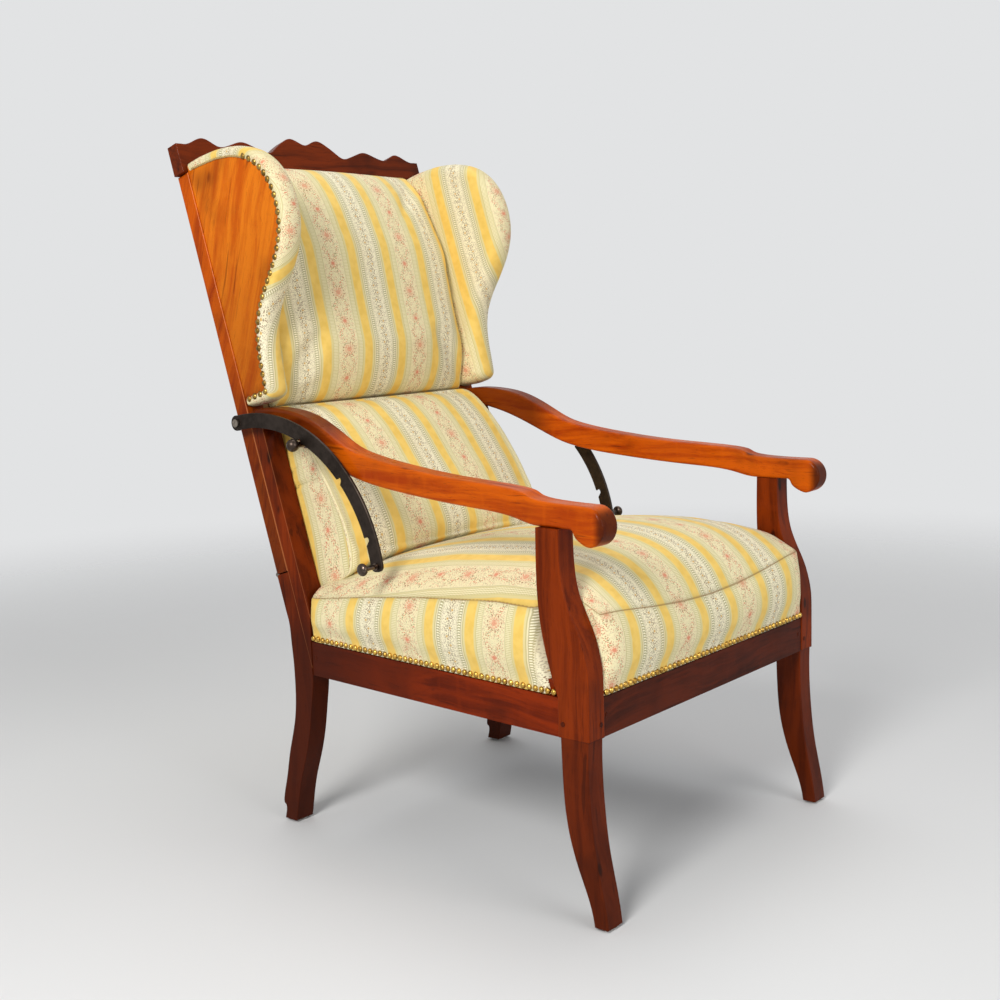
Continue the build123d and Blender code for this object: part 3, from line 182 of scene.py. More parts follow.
def stuff(piece, held, pad):
    # air pressure fills the cover; held is 1 where it is tacked down
    start = readPoints(piece.data)
    group = piece.vertex_groups.new(name="tacked")
    for index, weight in enumerate(held):
        if weight > 0.01:
            group.add([index], float(weight), "REPLACE")
    cover = piece.modifiers.new("stuffing", "CLOTH")
    cloth = cover.settings
    cloth.quality = stuffing["quality"]
    cloth.mass = stuffing["mass"]
    cloth.tension_stiffness = cloth.compression_stiffness = stuffing["tension"]
    cloth.shear_stiffness = stuffing["shear"]
    cloth.bending_stiffness = stuffing["bending"]
    cloth.use_pressure = True
    cloth.uniform_pressure_force = pad["pressure"]
    cloth.vertex_group_mass = "tacked"
    cloth.effector_weights.gravity = 0
    cover.point_cache.frame_start = 1
    cover.point_cache.frame_end = stuffing["frames"]
    for moment in range(1, stuffing["frames"] + 1):
        scene.frame_set(moment)
    shown = piece.evaluated_get(bpy.context.evaluated_depsgraph_get()).to_mesh()
    move = readPoints(shown) - start
    far = np.linalg.norm(move, axis=1, keepdims=True)
    move *= np.minimum(1, pad["mostMove"] / np.maximum(far, 1e-9))
    piece.modifiers.clear()
    piece.vertex_groups.clear()
    scene.frame_set(1)
    writePoints(piece, start + move)
    print(" ", piece.name, "stuffed, moved up to", round(float(far.max()) * 1000, 1), "mm")


def shadeSmooth(piece):
    for face in piece.data.polygons:
        face.use_smooth = True


def subdivide(piece):
    finer = piece.modifiers.new("finer", "SUBSURF")
    finer.levels = finer.render_levels = 1
    shadeSmooth(bake(piece))


def newObject(name, mesh):
    piece = bpy.data.objects.new(name, mesh)
    scene.collection.objects.link(piece)
    return piece


def dress(piece, finish, body, slotName, *replaced):
    piece.data.materials.clear()
    piece.data.materials.append(finish)
    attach(piece, body)
    if replaced:
        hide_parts(*replaced)
    return piece


def newFinish(name):
    finish = bpy.data.materials.new(name)
    finish.use_nodes = True
    tree = finish.node_tree
    tree.nodes.clear()
    shader = tree.nodes.new("ShaderNodeBsdfPrincipled")
    output = tree.nodes.new("ShaderNodeOutputMaterial")
    tree.links.new(shader.outputs[0], output.inputs[0])
    return finish, tree, shader


def put(tree, socket, value):
    if value is None:
        return
    if isinstance(value, bpy.types.NodeSocket):
        tree.links.new(value, socket)
    else:
        socket.default_value = value


def maths(tree, operation, *values):
    node = tree.nodes.new("ShaderNodeMath")
    node.operation = operation
    for socket, value in zip(node.inputs, values):
        put(tree, socket, value)
    return node.outputs[0]


def vectors(tree, operation, *values):
    node = tree.nodes.new("ShaderNodeVectorMath")
    node.operation = operation
    for socket, value in zip(node.inputs, values):
        put(tree, socket, value)
    return node


def blendColours(tree, amount, first, second):
    node = tree.nodes.new("ShaderNodeMix")
    node.data_type = "RGBA"
    put(tree, node.inputs[0], amount)
    put(tree, node.inputs[6], first)
    put(tree, node.inputs[7], second)
    return node.outputs[2]


def spread(tree, value, low, high, to=(0.0, 1.0), soft=True):
    node = tree.nodes.new("ShaderNodeMapRange")
    node.interpolation_type = "SMOOTHSTEP" if soft else "LINEAR"
    put(tree, node.inputs[0], value)
    for socket, number in zip(node.inputs[1:5], (low, high, *to)):
        socket.default_value = number
    return node.outputs[0]


def cloud(tree, place, scale, detail=2.0, rough=0.5, twist=0.0, kind="3D"):
    node = tree.nodes.new("ShaderNodeTexNoise")
    node.noise_dimensions = kind
    put(tree, node.inputs["Vector"], place)
    node.inputs["Scale"].default_value = scale
    node.inputs["Detail"].default_value = detail
    node.inputs["Roughness"].default_value = rough
    node.inputs["Distortion"].default_value = twist
    return node.outputs[0]


def cells(tree, place, scale, uneven=1.0, kind="2D"):
    node = tree.nodes.new("ShaderNodeTexVoronoi")
    node.voronoi_dimensions = kind
    put(tree, node.inputs["Vector"], place)
    node.inputs["Scale"].default_value = scale
    node.inputs["Randomness"].default_value = uneven
    return node.outputs["Distance"], node.outputs["Color"]


def turned(tree, place, turn=(0, 0, 0), size=(1, 1, 1)):
    node = tree.nodes.new("ShaderNodeMapping")
    put(tree, node.inputs["Vector"], place)
    node.inputs["Rotation"].default_value = turn
    node.inputs["Scale"].default_value = size
    return node.outputs[0]


def objectPlace(tree):
    return tree.nodes.new("ShaderNodeTexCoord").outputs["Object"]


def raised(tree, shader, heights):
    # heights are (value, distance in metres, strength), one bump on top of another
    normal = None
    for value, distance, strength in heights:
        node = tree.nodes.new("ShaderNodeBump")
        node.inputs["Distance"].default_value = distance
        node.inputs["Strength"].default_value = strength
        put(tree, node.inputs["Height"], value)
        put(tree, node.inputs["Normal"], normal)
        normal = node.outputs[0]
    tree.links.new(normal, shader.inputs["Normal"])


camera = {
    "place": (-1.7386, -1.4607, 0.8314), "lens": 50.29, "sensor": 36,
    "yawDeg": 50.20, "pitchDeg": 7.99, "rollDeg": -1.71,
}


def makeCamera():
    yaw, pitch, roll = (radians(camera[k]) for k in ("yawDeg", "pitchDeg", "rollDeg"))
    ahead = Vector((sin(yaw) * cos(pitch), cos(yaw) * cos(pitch), -sin(pitch)))
    level = Vector((cos(yaw), -sin(yaw), 0))
    upward = level.cross(ahead)
    right = cos(roll) * level + sin(roll) * upward
    top = -sin(roll) * level + cos(roll) * upward
    lens = bpy.data.cameras.new("camera")
    lens.lens = camera["lens"]
    lens.sensor_width = camera["sensor"]
    scene.camera = newObject("camera", lens)
    turn = Matrix((right, top, -ahead)).transposed().to_4x4()
    scene.camera.matrix_world = Matrix.Translation(camera["place"]) @ turn


makeCamera()
print("camera set")


wood = {
    "polished": {"light": (228, 124, 24), "deep": (196, 86, 8), "line": (104, 38, 4), "gloss": 0.26},
    "warm": {"light": (200, 88, 6), "deep": (160, 56, 3), "line": (62, 20, 4), "gloss": 0.26},
    "leg": {"light": (128, 46, 5), "deep": (92, 29, 3), "line": (40, 13, 4), "gloss": 0.28},
    "rail": {"light": (132, 42, 4), "deep": (94, 27, 3), "line": (44, 14, 5), "gloss": 0.28},
    "crest": {"light": (112, 42, 11), "deep": (76, 27, 7), "line": (36, 13, 6), "gloss": 0.28},
    "dark": {"light": (86, 30, 8), "deep": (56, 19, 6), "line": (28, 10, 6), "gloss": 0.28},
    "raw": {"light": (186, 148, 100), "deep": (156, 116, 72), "line": (96, 66, 38), "gloss": 0.7},
}
grainLayers = {  # stretch along and across the grain, scale, detail, roughness, twist
    "figure": (1.6, 26, 2.2, 4, 0.6, 0.5),
    "streak": (4, 110, 2.4, 3, 0.6, 0.0),
    "pore": (14, 420, 2.5, 2, 0.6, 0.0),
    "flame": (26, 7, 1.6, 2, 0.5, 0.8),
    "stroke": (3.5, 60, 2.0, 2, 0.55, 0.0),
}
grainCoats = (  # layer, where it starts and ends, strength, tint
    ("streak", 0.56, 0.72, 0.5, "deep"), ("flame", 0.52, 0.72, 0.3, "light"),
    ("patch", 0.47, 0.75, 0.6, "line"), ("stroke", 0.64, 0.72, 0.55, "line"),
    ("pore", 0.6, 0.72, 0.45, "line"),
)
grainTurns = {  # turns that bring the grain onto the pattern's X
    "x": (0, 0, 0),
    "y": (0, 0, pi / 2),
    "z": (0, pi / 2, 0),
    "lean": (-slope, pi / 2, 0),
}
ways = {  # a direction and its start: up, rearward, forward of the back and up along it
    "up": ((0, 0, 1), 0.0),
    "rear": ((0, 1, 0), 0.0),
    "forward": ((0, -cos(slope), sin(slope)), back["hingeY"] * cos(slope) - back["hingeZ"] * sin(slope)),
    "along": ((0, sin(slope), cos(slope)), -back["hingeY"] * sin(slope) - back["hingeZ"] * cos(slope)),
}
polish = {"sheen": 0.03, "coat": 0.09, "coatRough": 0.12, "roughRange": 0.2}


def woodFinish(name, kind, grain, darkBands=(), arrises=(), knots=0.0):
    # bands of darker wood towards one end: (direction, dark end, clear end, strength); some are painted
    # shade, as on the rear post's front face and on the arms' rear under the wings, others darken the wood
    # towards one end
    # arrises: (direction, places, half width, tint, strength), thin lines along edges: pale ones are painted
    # highlights on worn, rounded edges, dark ones are scored joint lines
    tints = {part: colour(*wood[kind][part]) for part in ("light", "deep", "line")}
    finish, tree, shader = newFinish(name)
    place = objectPlace(tree)
    along = turned(tree, place, grainTurns[grain])
    bent = cloud(tree, along, 5, 2, 0.5)
    base = vectors(tree, "MULTIPLY_ADD", bent, (0.0, 0.03, 0.03), along).outputs[0]
    layers = {"patch": cloud(tree, place, 7, 3, 0.6)}
    for layer, (length, width, *noise) in grainLayers.items():
        layers[layer] = cloud(tree, turned(tree, base, size=(length, width, width)), *noise)
    patch = layers["patch"]
    body = blendColours(tree, spread(tree, layers["figure"], 0.3, 0.6), tints["deep"], tints["light"])
    for layer, low, high, strength, tint in grainCoats:
        body = blendColours(tree, spread(tree, layers[layer], low, high, (0.0, strength)), body, tints[tint])

    def distance(direction):
        way, start = ways[direction]
        return maths(tree, "ADD", vectors(tree, "DOT_PRODUCT", place, way).outputs["Value"], start)

    # darker bands by position, some of them painted shade
    for direction, dark, clear, strength in darkBands:
        uneven = maths(tree, "SUBTRACT", patch, 0.5)
        ragged = maths(tree, "MULTIPLY_ADD", uneven, 0.25 * (clear - dark), distance(direction))
        mask = spread(tree, ragged, dark, clear, (strength, 0.0))
        body = blendColours(tree, mask, body, colour(*wood["dark"]["deep"]))
    if knots:
        gap, _ = cells(tree, turned(tree, along, size=(1, 2.4, 2.4)), 16, 1.0, "3D")
        knot = spread(tree, gap, 0.1, 0.22, (knots, 0.0))
        knot = maths(tree, "MULTIPLY", knot, spread(tree, patch, 0.5, 0.62))
        body = blendColours(tree, knot, body, tints["line"])
    # pale lines paint highlights along worn edges; dark lines mark joints
    for direction, places, half, tint, strength in arrises:
        for middle in places:
            gap = maths(tree, "ABSOLUTE", maths(tree, "SUBTRACT", distance(direction), middle))
            line = spread(tree, gap, half * 0.5, half, (strength, 0.0))
            edgeLine = maths(tree, "MULTIPLY", line, spread(tree, patch, 0.3, 0.55, (0.4, 1.0)))
            body = blendColours(tree, edgeLine, body, colour(*tint))
    put(tree, shader.inputs["Base Color"], body)
    scuff = cloud(tree, place, 22, 4, 0.65)
    gloss = wood[kind]["gloss"]
    dulled = spread(tree, scuff, 0.3, 0.75, (gloss, gloss + polish["roughRange"]))
    put(tree, shader.inputs["Roughness"], dulled)
    shader.inputs["Specular IOR Level"].default_value = polish["sheen"]
    shader.inputs["Coat Weight"].default_value = 0.0 if kind == "raw" else polish["coat"]
    shader.inputs["Coat Roughness"].default_value = polish["coatRough"]
    heights = [(layers["pore"], 0.0002, 0.3), (scuff, 0.0006, 0.22), (layers["streak"], 0.0003, 0.25)]
    raised(tree, shader, heights)
    return finish


def metalFinish(name, bright, dull, shine, wearSize=40):
    finish, tree, shader = newFinish(name)
    place = objectPlace(tree)
    wear = cloud(tree, place, wearSize, 4, 0.6)
    fleck = cloud(tree, place, wearSize * 9, 3, 0.6)
    mixed = maths(tree, "MULTIPLY_ADD", fleck, 0.4, maths(tree, "MULTIPLY", wear, 0.6))
    body = blendColours(tree, spread(tree, mixed, 0.4, 0.62), colour(*bright), colour(*dull))
    put(tree, shader.inputs["Base Color"], body)
    shader.inputs["Metallic"].default_value = 1.0
    put(tree, shader.inputs["Roughness"], spread(tree, mixed, 0.35, 0.7, (shine, shine + 0.25)))
    raised(tree, shader, [(fleck, 0.0002, 0.25), (wear, 0.0008, 0.15)])
    return finish


def wovenFinish(name, light, dark, threadSize):
    finish, tree, shader = newFinish(name)
    place = objectPlace(tree)
    parts = tree.nodes.new("ShaderNodeSeparateXYZ")
    put(tree, parts.inputs[0], place)
    threads = [
        maths(tree, "SINE", maths(tree, "MULTIPLY", parts.outputs[k], 2 * pi / threadSize)) for k in (0, 1)
    ]
    weave = maths(tree, "MULTIPLY", *threads)
    blotch = cloud(tree, place, 30, 4, 0.6)
    body = blendColours(tree, spread(tree, weave, -0.8, 0.8, (0.0, 0.55)), colour(*dark), colour(*light))
    body = blendColours(tree, spread(tree, blotch, 0.45, 0.75, (0.0, 0.45)), body, colour(*dark))
    put(tree, shader.inputs["Base Color"], body)
    shader.inputs["Roughness"].default_value = 0.9
    raised(tree, shader, [(weave, 0.0003, 0.5), (blotch, 0.0006, 0.3)])
    return finish


# the pale edge tint is a painted highlight where worn, rounded edges catch the light; the dark one is a
# scored joint line
wornEdgeHighlight, scoredEdge = (236, 150, 92), (34, 10, 4)
finishes = {
    "boardWood": woodFinish(
        "polished wing wood", "polished", "lean", [("along", 0.24, 0.66, 0.4)], knots=0.6,
    ),
    "armWood": woodFinish(
        "polished arm wood", "warm", "y",
        # the second band darkens each arm towards its rear rise under the wing: painted shade, partly a dark
        # stain
        [("rear", -0.437, -0.422, 0.88), ("rear", 0.12, 0.05, 0.72)], knots=0.8,
    ),
    "legWood": woodFinish(
        "leg wood", "leg", "z", [("up", 0.2558, 0.2572, 0.45), ("up", 0.0, 0.24, 0.4)],
        [("up", (0.2572,), 0.0012, scoredEdge, 0.85)], knots=0.9,
    ),
    "rearLegWood": woodFinish(
        # the second band is painted shade: the rear post's front face, shadowed by the arm and wing, is
        # darkened
        "rear leg wood", "leg", "z", [("up", 0.3, 0.42, 0.85), ("forward", 0.0549, 0.0543, 0.3)],
        # pale lines: painted highlights along the rear post's rear and front edges
        [("forward", (0.0302, 0.0540), 0.0008, wornEdgeHighlight, 0.16)], knots=0.9,
    ),
    "stileWood": woodFinish(
        "stile wood", "warm", "lean", [("along", 0.0, 0.6, 0.75)],
        # pale lines: painted highlights along the stile's rear and front edges
        [("forward", (0.0030, 0.0282), 0.0008, wornEdgeHighlight, 0.32)], knots=0.5,
    ),
    "sideRailWood": woodFinish("side rail wood", "rail", "y", [("rear", 0.16, -0.25, 0.85)]),
    # the front and rear seat rails take a darker wood than the side rails, which partly paints the shade on
    # the front rail's forward face
    "darkRailWood": woodFinish("dark rail wood", "dark", "x"),
    "crestWood": woodFinish("crest wood", "crest", "x"),
    "rawWood": woodFinish("inner frame wood", "raw", "x"),
    "pegWood": woodFinish("peg wood", "dark", "z"),
    "agedSteel": metalFinish("browned steel", (64, 55, 49), (46, 39, 34), 0.34, 9),
    "pivotSteel": metalFinish("pivot steel", (150, 140, 128), (88, 78, 68), 0.3, 30),
    "knobSteel": metalFinish("handled steel", (104, 90, 80), (68, 58, 51), 0.16, 30),
    "plainSteel": metalFinish("plain steel", (150, 146, 140), (92, 86, 80), 0.34),
    "nailBrass": metalFinish("aged brass", (216, 176, 88), (140, 104, 46), 0.22, 90),
    "darkBrass": metalFinish("darkened brass", (178, 144, 74), (104, 80, 38), 0.26, 90),
    "trimCord": wovenFinish("trim cord", (226, 204, 146), (158, 130, 76), 0.0018),
    "whiteMetal": metalFinish("white metal", (214, 208, 198), (140, 130, 118), 0.34, 120),
    "jute": wovenFinish("jute webbing", (190, 160, 112), (136, 104, 62), 0.004),
    "hessian": wovenFinish("hessian", (180, 150, 104), (120, 94, 58), 0.0026),
    "blackCloth": wovenFinish("bottoming cloth", (46, 42, 40), (22, 20, 20), 0.0022),
}

nodeFinishes = {
    "legWood": ("front_leg_right", "front_leg_left"),
    "rearLegWood": ("rear_leg_right", "rear_leg_left"),
    "armWood": ("arm_right", "arm_left"),
    "boardWood": ("wing_panel_right", "wing_panel_left"),
    "stileWood": ("back_stile_right", "back_stile_left"),
    "sideRailWood": ("side_seat_rail_right", "side_seat_rail_left"),
    "darkRailWood": ("front_seat_rail", "rear_seat_rail"),
    "crestWood": ("crest_rail",),
    "rawWood": ("corner_blocks", "back_middle_rail", "back_bottom_rail"),
    "pegWood": ("tenon_pegs",),
    "agedSteel": ("ratchet_bar_right", "ratchet_bar_left"),
    "knobSteel": ("ratchet_knob_right", "ratchet_knob_left", "ratchet_studs"),
    "pivotSteel": ("ratchet_pivots", "hinge_pins"),
    "plainSteel": (
        "hinge_fixed_leaves", "hinge_moving_leaves", "hinge_fixed_screws", "hinge_moving_screws",
        "seat_springs",
    ),
    "whiteMetal": ("foot_glides",),
    "jute": ("seat_webbing", "back_webbing"),
    "hessian": ("seat_hessian",),
}
for finishName, members in nodeFinishes.items():
    for member in members:
        nodes[member].data.materials.clear()
        nodes[member].data.materials.append(finishes[finishName])
print("wood and metal finishes made")


stripes = {  # metres across the cloth from the middle of the vine, or along it, and the dyes, with one colour for stitching and the painted shadow in seams and folds
    "repeat": 0.174,  # from one vine to the next
    "vineEdge": (0.0150, 0.0165), "sprayEdge": (0.0655, 0.0675),
    "ladderAt": 0.0208, "ladderHalf": 0.0039, "rungAt": 0.0212, "rungHalf": 0.0022, "rungStep": 0.0037,
    "goldAt": 0.041, "goldHalf": 0.0088, "edging": 0.0046,
    "netAt": 0.0592, "netHalf": 0.0046, "netStep": 0.0050,
    "stemSway": 0.0042, "stemStep": 0.0250, "diamondStep": 0.0245,
    "dotSize": 0.0023, "thread": 0.0011,
    "ground": (236, 225, 182), "pale": (240, 232, 200),
    "gold": (242, 205, 108), "goldDeep": (233, 194, 94),
    "sage": (218, 205, 144), "sageDeep": (158, 148, 98),
    "ladder": (246, 240, 210), "olive": (110, 90, 48), "mauve": (142, 103, 79),
    "ochre": (208, 164, 78), "rose": (222, 130, 100), "blush": (228, 178, 146),
    "stitchAndCreaseShadow": (136, 102, 56),
}
florets = {  # pitch along the stripe, swing to the sides, rays, reach, stretch across
    "vine": (0.0125, 0.0032, 6, 0.0062, 0.85),
    "spray": (0.0980, 0.0010, 13, 0.0140, 0.8),
    "bud": (0.0980, 0.0010, 9, 0.0100, 0.85),
}


def coverFinish():
    finish, tree, shader = newFinish("striped cover")
    calc, band = partial(maths, tree), partial(spread, tree)
    coverMap = tree.nodes.new("ShaderNodeUVMap")
    coverMap.uv_map = "coverPlace"
    place = coverMap.outputs[0]
    parts = tree.nodes.new("ShaderNodeSeparateXYZ")
    put(tree, parts.inputs[0], place)
    wobble = cloud(tree, place, 60, 2, 0.5, kind="2D")
    across = calc("MULTIPLY_ADD", calc("SUBTRACT", wobble, 0.5), 0.0014, parts.outputs[0])
    length = parts.outputs[1]
    half = stripes["repeat"] / 2
    goldAt, goldHalf = stripes["goldAt"], stripes["goldHalf"]

    def paint(base, *coats):
        for mask, name in coats:
            base = blendColours(tree, mask, base, colour(*stripes[name]))
        return base

    def near(value, centre, reach, soft=0.0008):
        gap = calc("ABSOLUTE", calc("SUBTRACT", value, centre))
        return band(gap, reach - soft, reach + soft, (1.0, 0.0))

    def times(*values):
        return reduce(partial(calc, "MULTIPLY"), values)

    def wave(value, period, shift=0.0):
        return calc("SINE", calc("MULTIPLY_ADD", value, 2 * pi / period, shift))

    dot, tint = cells(tree, place, 1 / stripes["dotSize"], 0.95)
    tints = tree.nodes.new("ShaderNodeSeparateColor")
    put(tree, tints.inputs[0], tint)
    dots = band(dot, 0.26, 0.44, (1.0, 0.0))
    broken = calc("MULTIPLY_ADD", band(dot, 0.3, 0.5, (1.0, 0.0)), 0.75, 0.25)

    def some(channel, low):
        # a share of the dots, picked by one channel of their random tint
        return band(tints.outputs[channel], low, low + 0.05)

    def floret(kind, offside, shift):
        # rays round one flower at each step, swung to alternate sides, and its heart
        pitch, swing, rays, reach, stretch = florets[kind]
        step = calc("DIVIDE", calc("ADD", length, shift), pitch)
        index = calc("FLOOR", step)
        up = calc("MULTIPLY", calc("SUBTRACT", calc("FRACT", step), 0.5), pitch)
        side = calc("MULTIPLY_ADD", calc("PINGPONG", index, 1.0), 2 * swing, -swing)
        aside = times(calc("SUBTRACT", offside, side), stretch)
        radius = calc("SQRT", calc("ADD", times(aside, aside), times(up, up)))
        turn = calc("ARCTAN2", up, aside)
        spokes = calc("SINE", calc("MULTIPLY_ADD", turn, rays, times(index, 2.4)))
        ray = times(
            band(spokes, -0.1, 0.5), band(wave(radius, 0.0034, 1.2), -0.4, 0.2), broken,
            band(radius, reach * 0.8, reach, (1.0, 0.0)), band(radius, 0.001, 0.002),
        )
        return ray, band(radius, reach * 0.2, reach * 0.34, (1.0, 0.0)), radius

    fromVine = calc("PINGPONG", across, half)
    offVine = calc("WRAP", across, half, -half)
    offSpray = calc("WRAP", calc("ADD", across, half), half, -half)
    vineBand = band(fromVine, *stripes["vineEdge"], (1.0, 0.0))
    sprayBand = band(fromVine, *stripes["sprayEdge"])

    base = paint(
        colour(*stripes["pale"]), (band(fromVine, goldAt - 0.002, goldAt + 0.002), "ground"),
        (times(near(fromVine, goldAt, goldHalf + 0.0062, 0.0022), 0.85), "sage"),
    )
    reach = goldHalf + stripes["edging"]
    for line in (goldAt - reach, goldAt + reach, 0.0648):
        base = paint(base, (times(near(fromVine, line, 0.0007), 0.55), "sageDeep"))

    rungs = band(wave(length, stripes["rungStep"]), -0.35, 0.25)
    beads = band(wave(length, stripes["rungStep"], 1.6), -0.1, 0.4)
    base = paint(
        base, (times(near(fromVine, stripes["ladderAt"], stripes["ladderHalf"]), 0.8), "sageDeep"),
        (times(near(fromVine, stripes["rungAt"], stripes["rungHalf"]), rungs), "ladder"),
        (times(near(fromVine, 0.0176, 0.0008), beads, 0.8), "ladder"),
        (times(near(fromVine, 0.0157, 0.0005), 0.4), "sageDeep"),
    )
    net = times(*(wave(calc(way, across, length), stripes["netStep"]) for way in ("ADD", "SUBTRACT")))
    inNet = near(fromVine, stripes["netAt"], stripes["netHalf"])
    base = paint(
        base, (times(near(fromVine, 0.0590, 0.0056), 0.7), "sage"),
        (times(inNet, band(net, 0.0, 0.45), 0.8), "ladder"),
        (times(inNet, band(net, -0.6, -0.2, (0.5, 0.0))), "sageDeep"),
    )

    stem = times(wave(length, stripes["stemStep"]), stripes["stemSway"])
    onStem = near(offVine, stem, 0.0042, 0.002)
    vineDots = times(dots, vineBand, calc("MULTIPLY_ADD", onStem, 0.6, 0.38))
    ray, heart, _ = floret("vine", offVine, 0.0)
    tuft = times(ray, vineBand)
    base = paint(
        base, (times(vineDots, some(0, 0.35), 0.85), "olive"),
        (times(vineDots, some(1, 0.55), 0.85), "mauve"),
        (times(tuft, 0.8), "olive"), (times(tuft, some(2, 0.55), 0.8), "mauve"),
        (times(heart, vineBand, 0.85), "ochre"),
    )

    # a chain of dotted diamonds joins the sprays
    thick = band(cloud(tree, place, 95, 2, 0.6, kind="2D"), 0.4, 0.6)
    side = times(calc("PINGPONG", length, stripes["diamondStep"]), 0.58)
    chain = near(calc("ABSOLUTE", offSpray), side, 0.0042, 0.0016)
    dense = calc("MULTIPLY_ADD", thick, 0.35, calc("MULTIPLY_ADD", chain, 0.65, 0.15))
    sprayDots = times(dots, sprayBand, dense)
    base = paint(
        base, (times(sprayDots, some(0, 0.45), 0.7), "mauve"),
        (times(sprayDots, some(1, 0.45), 0.9), "sageDeep"),
        (times(sprayDots, some(2, 0.5), 0.85), "rose"),
    )
    for kind, shift, strength, tip, middle in (
        ("spray", 0.0490, 0.85, "olive", 0.45), ("bud", 0.0, 0.9, "sageDeep", 0.8),
    ):
        ray, heart, radius = floret(kind, offSpray, shift)
        reach = florets[kind][3]
        outer = band(radius, reach * 0.55, reach * 0.7)
        base = paint(
            base, (times(sprayBand, band(radius, reach * 0.15, reach, (0.5 * strength, 0.0))), "blush"),
            (times(ray, sprayBand, strength), "rose"), (times(ray, sprayBand, outer, 0.75), tip),
            (times(heart, sprayBand, middle), "rose"),
        )

    inGold = near(fromVine, goldAt, goldHalf, 0.0009)
    goldTones = (colour(*stripes["gold"]), colour(*stripes["goldDeep"]))
    base = blendColours(tree, inGold, base, blendColours(tree, band(wobble, 0.3, 0.75), *goldTones))

    # painted shade: the cover is darkened along the marked seams and folds, where shade falls, and a thin
    # dark line is painted on each; at the seams it is stitching with the shadow of the crease, in the lower
    # pad's folds it is a painted shadow
    mark = tree.nodes.new("ShaderNodeAttribute")
    mark.attribute_name = "crease"
    crease = mark.outputs["Fac"]
    creaseLine = band(crease, 0.84, 0.98)
    soil = cloud(tree, place, 9, 3, 0.55, kind="2D")
    base = paint(
        base, (times(band(crease, 0.3, 1.0), 0.22), "sageDeep"),
        (times(creaseLine, calc("MULTIPLY_ADD", wave(length, 0.0062), 0.2, 0.6)), "stitchAndCreaseShadow"),
        (band(soil, 0.5, 0.85, (0.0, 0.12)), "ochre"),
    )
    put(tree, shader.inputs["Base Color"], base)
    shader.inputs["Specular IOR Level"].default_value = 0.25
    shader.inputs["Sheen Weight"].default_value = 0.08
    shader.inputs["Sheen Roughness"].default_value = 0.4
    put(tree, shader.inputs["Roughness"], band(inGold, 0.0, 1.0, (0.8, 0.55), soft=False))
    weave = times(wave(parts.outputs[0], stripes["thread"]), wave(length, stripes["thread"] * 0.8))
    rumple = cloud(tree, place, 26, 3, 0.5, kind="2D")
    heights = [(weave, 0.00012, 0.35), (inGold, 0.0003, 0.3), (rumple, 0.003, 0.24), (creaseLine, -0.001, 0.5)]
    raised(tree, shader, heights)
    return finish


coverCloth = coverFinish()
print("striped cover made")


upperPad = {
    "halfWidth": 0.2303, "rear": 0.0298, "edge": 0.022,
    "sides": (  # along the back, forward, up the middle of a side
        (0.2682, 0.0298), (0.2682, 0.046), (0.272, 0.054), (0.282, 0.06), (0.310, 0.075), (0.336, 0.084),
        (0.374, 0.087), (0.421, 0.090), (0.468, 0.094), (0.515, 0.097), (0.556, 0.091), (0.597, 0.084),
        (0.629, 0.077), (0.655, 0.064), (0.672, 0.05), (0.6782, 0.036), (0.6782, 0.0298),
    ),
    "crown": ((0.27, 0.010), (0.5, 0.011), (0.6, 0.015), (0.66, 0.017)),  # along the back, height
    "sideBulge": 0,
    "rows": 52, "columns": 46, "cornerSteps": 6, "sideColumns": 8,
    "pressure": 3.0, "mostMove": 0.006,
}


def joined(*parts):
    # coordinates side by side, single numbers repeated
    return np.stack(np.broadcast_arrays(*parts), -1)


def panel(rows):
    # rows of (points, pattern places) as one panel to sew
    return tuple(np.array(part) for part in zip(*rows))


def padPanels(pad, half):
    # front, side and rear panels of a back pad, with a row at each place up the back
    line = rounded(pad["sides"], pad["rows"])
    arc = np.linspace(0, pi / 2, pad["cornerSteps"])
    flatColumns = pad["columns"] - 2 * pad["cornerSteps"]
    front, sides = [], ([], [])
    for (along, forward), place in zip(line, lineLength(line)):
        depth = forward - pad["rear"]
        turn = min(pad["edge"], depth * 0.85)
        wide = half(along)
        lift = readOff(pad["crown"], along) * min(1, depth / 0.03)
        inner = np.linspace(-wide + turn, wide - turn, flatColumns + 2)[1:-1]
        middle = [(x, forward + lift * (1 - (x / (wide - turn)) ** 2)) for x in inner]
        right = [(-wide + turn * (1 - cos(t)), forward - turn * (1 - sin(t))) for t in arc]
        left = [(-x, f) for x, f in right[::-1]]
        section = np.array(right + middle + left)
        run = lineLength(section)
        run -= run[-1] / 2
        front.append((onBack(section[:, 0], along, section[:, 1]), joined(run, place)))
        for side, end, sign in zip(sides, (section[0], section[-1]), (-1, 1)):
            forwards = np.linspace(pad["rear"], end[1], pad["sideColumns"])
            swell = pad["sideBulge"] * np.sin(np.linspace(0, pi, pad["sideColumns"])) * min(1, depth / 0.06)
            if "sideStripesAt" in pad:
                around = forwards - pad["sideStripesAt"] + stripes["repeat"] / 2
            else:
                around = run[0] - (end[1] - forwards)
            side.append((onBack(end[0] + sign * swell, along, forwards), joined(around, along)))
    rear = np.array([[right[0], left[0]] for (right, _), (left, _) in zip(*sides)])
    return [panel(front), panel(sides[0]), panel(sides[1]), (rear, rear[..., [0, 2]])]


def tackedBehind(forward):
    return np.clip(1 - (forward - 0.034) / 0.02, 0, 1)


def makeUpperPad():
    wide = upperPad["halfWidth"]
    piece = sewPanels("upper_pad_cover", padPanels(upperPad, lambda along: wide))
    _, forward = fromBack(readPoints(piece.data))
    stuff(piece, tackedBehind(forward), upperPad)
    points = readPoints(piece.data)
    points[:, 0] = np.clip(points[:, 0], -wide, wide)
    writePoints(piece, points)
    subdivide(piece)
    return dress(piece, coverCloth, "back", "striped_cover", "upper_back_pad")


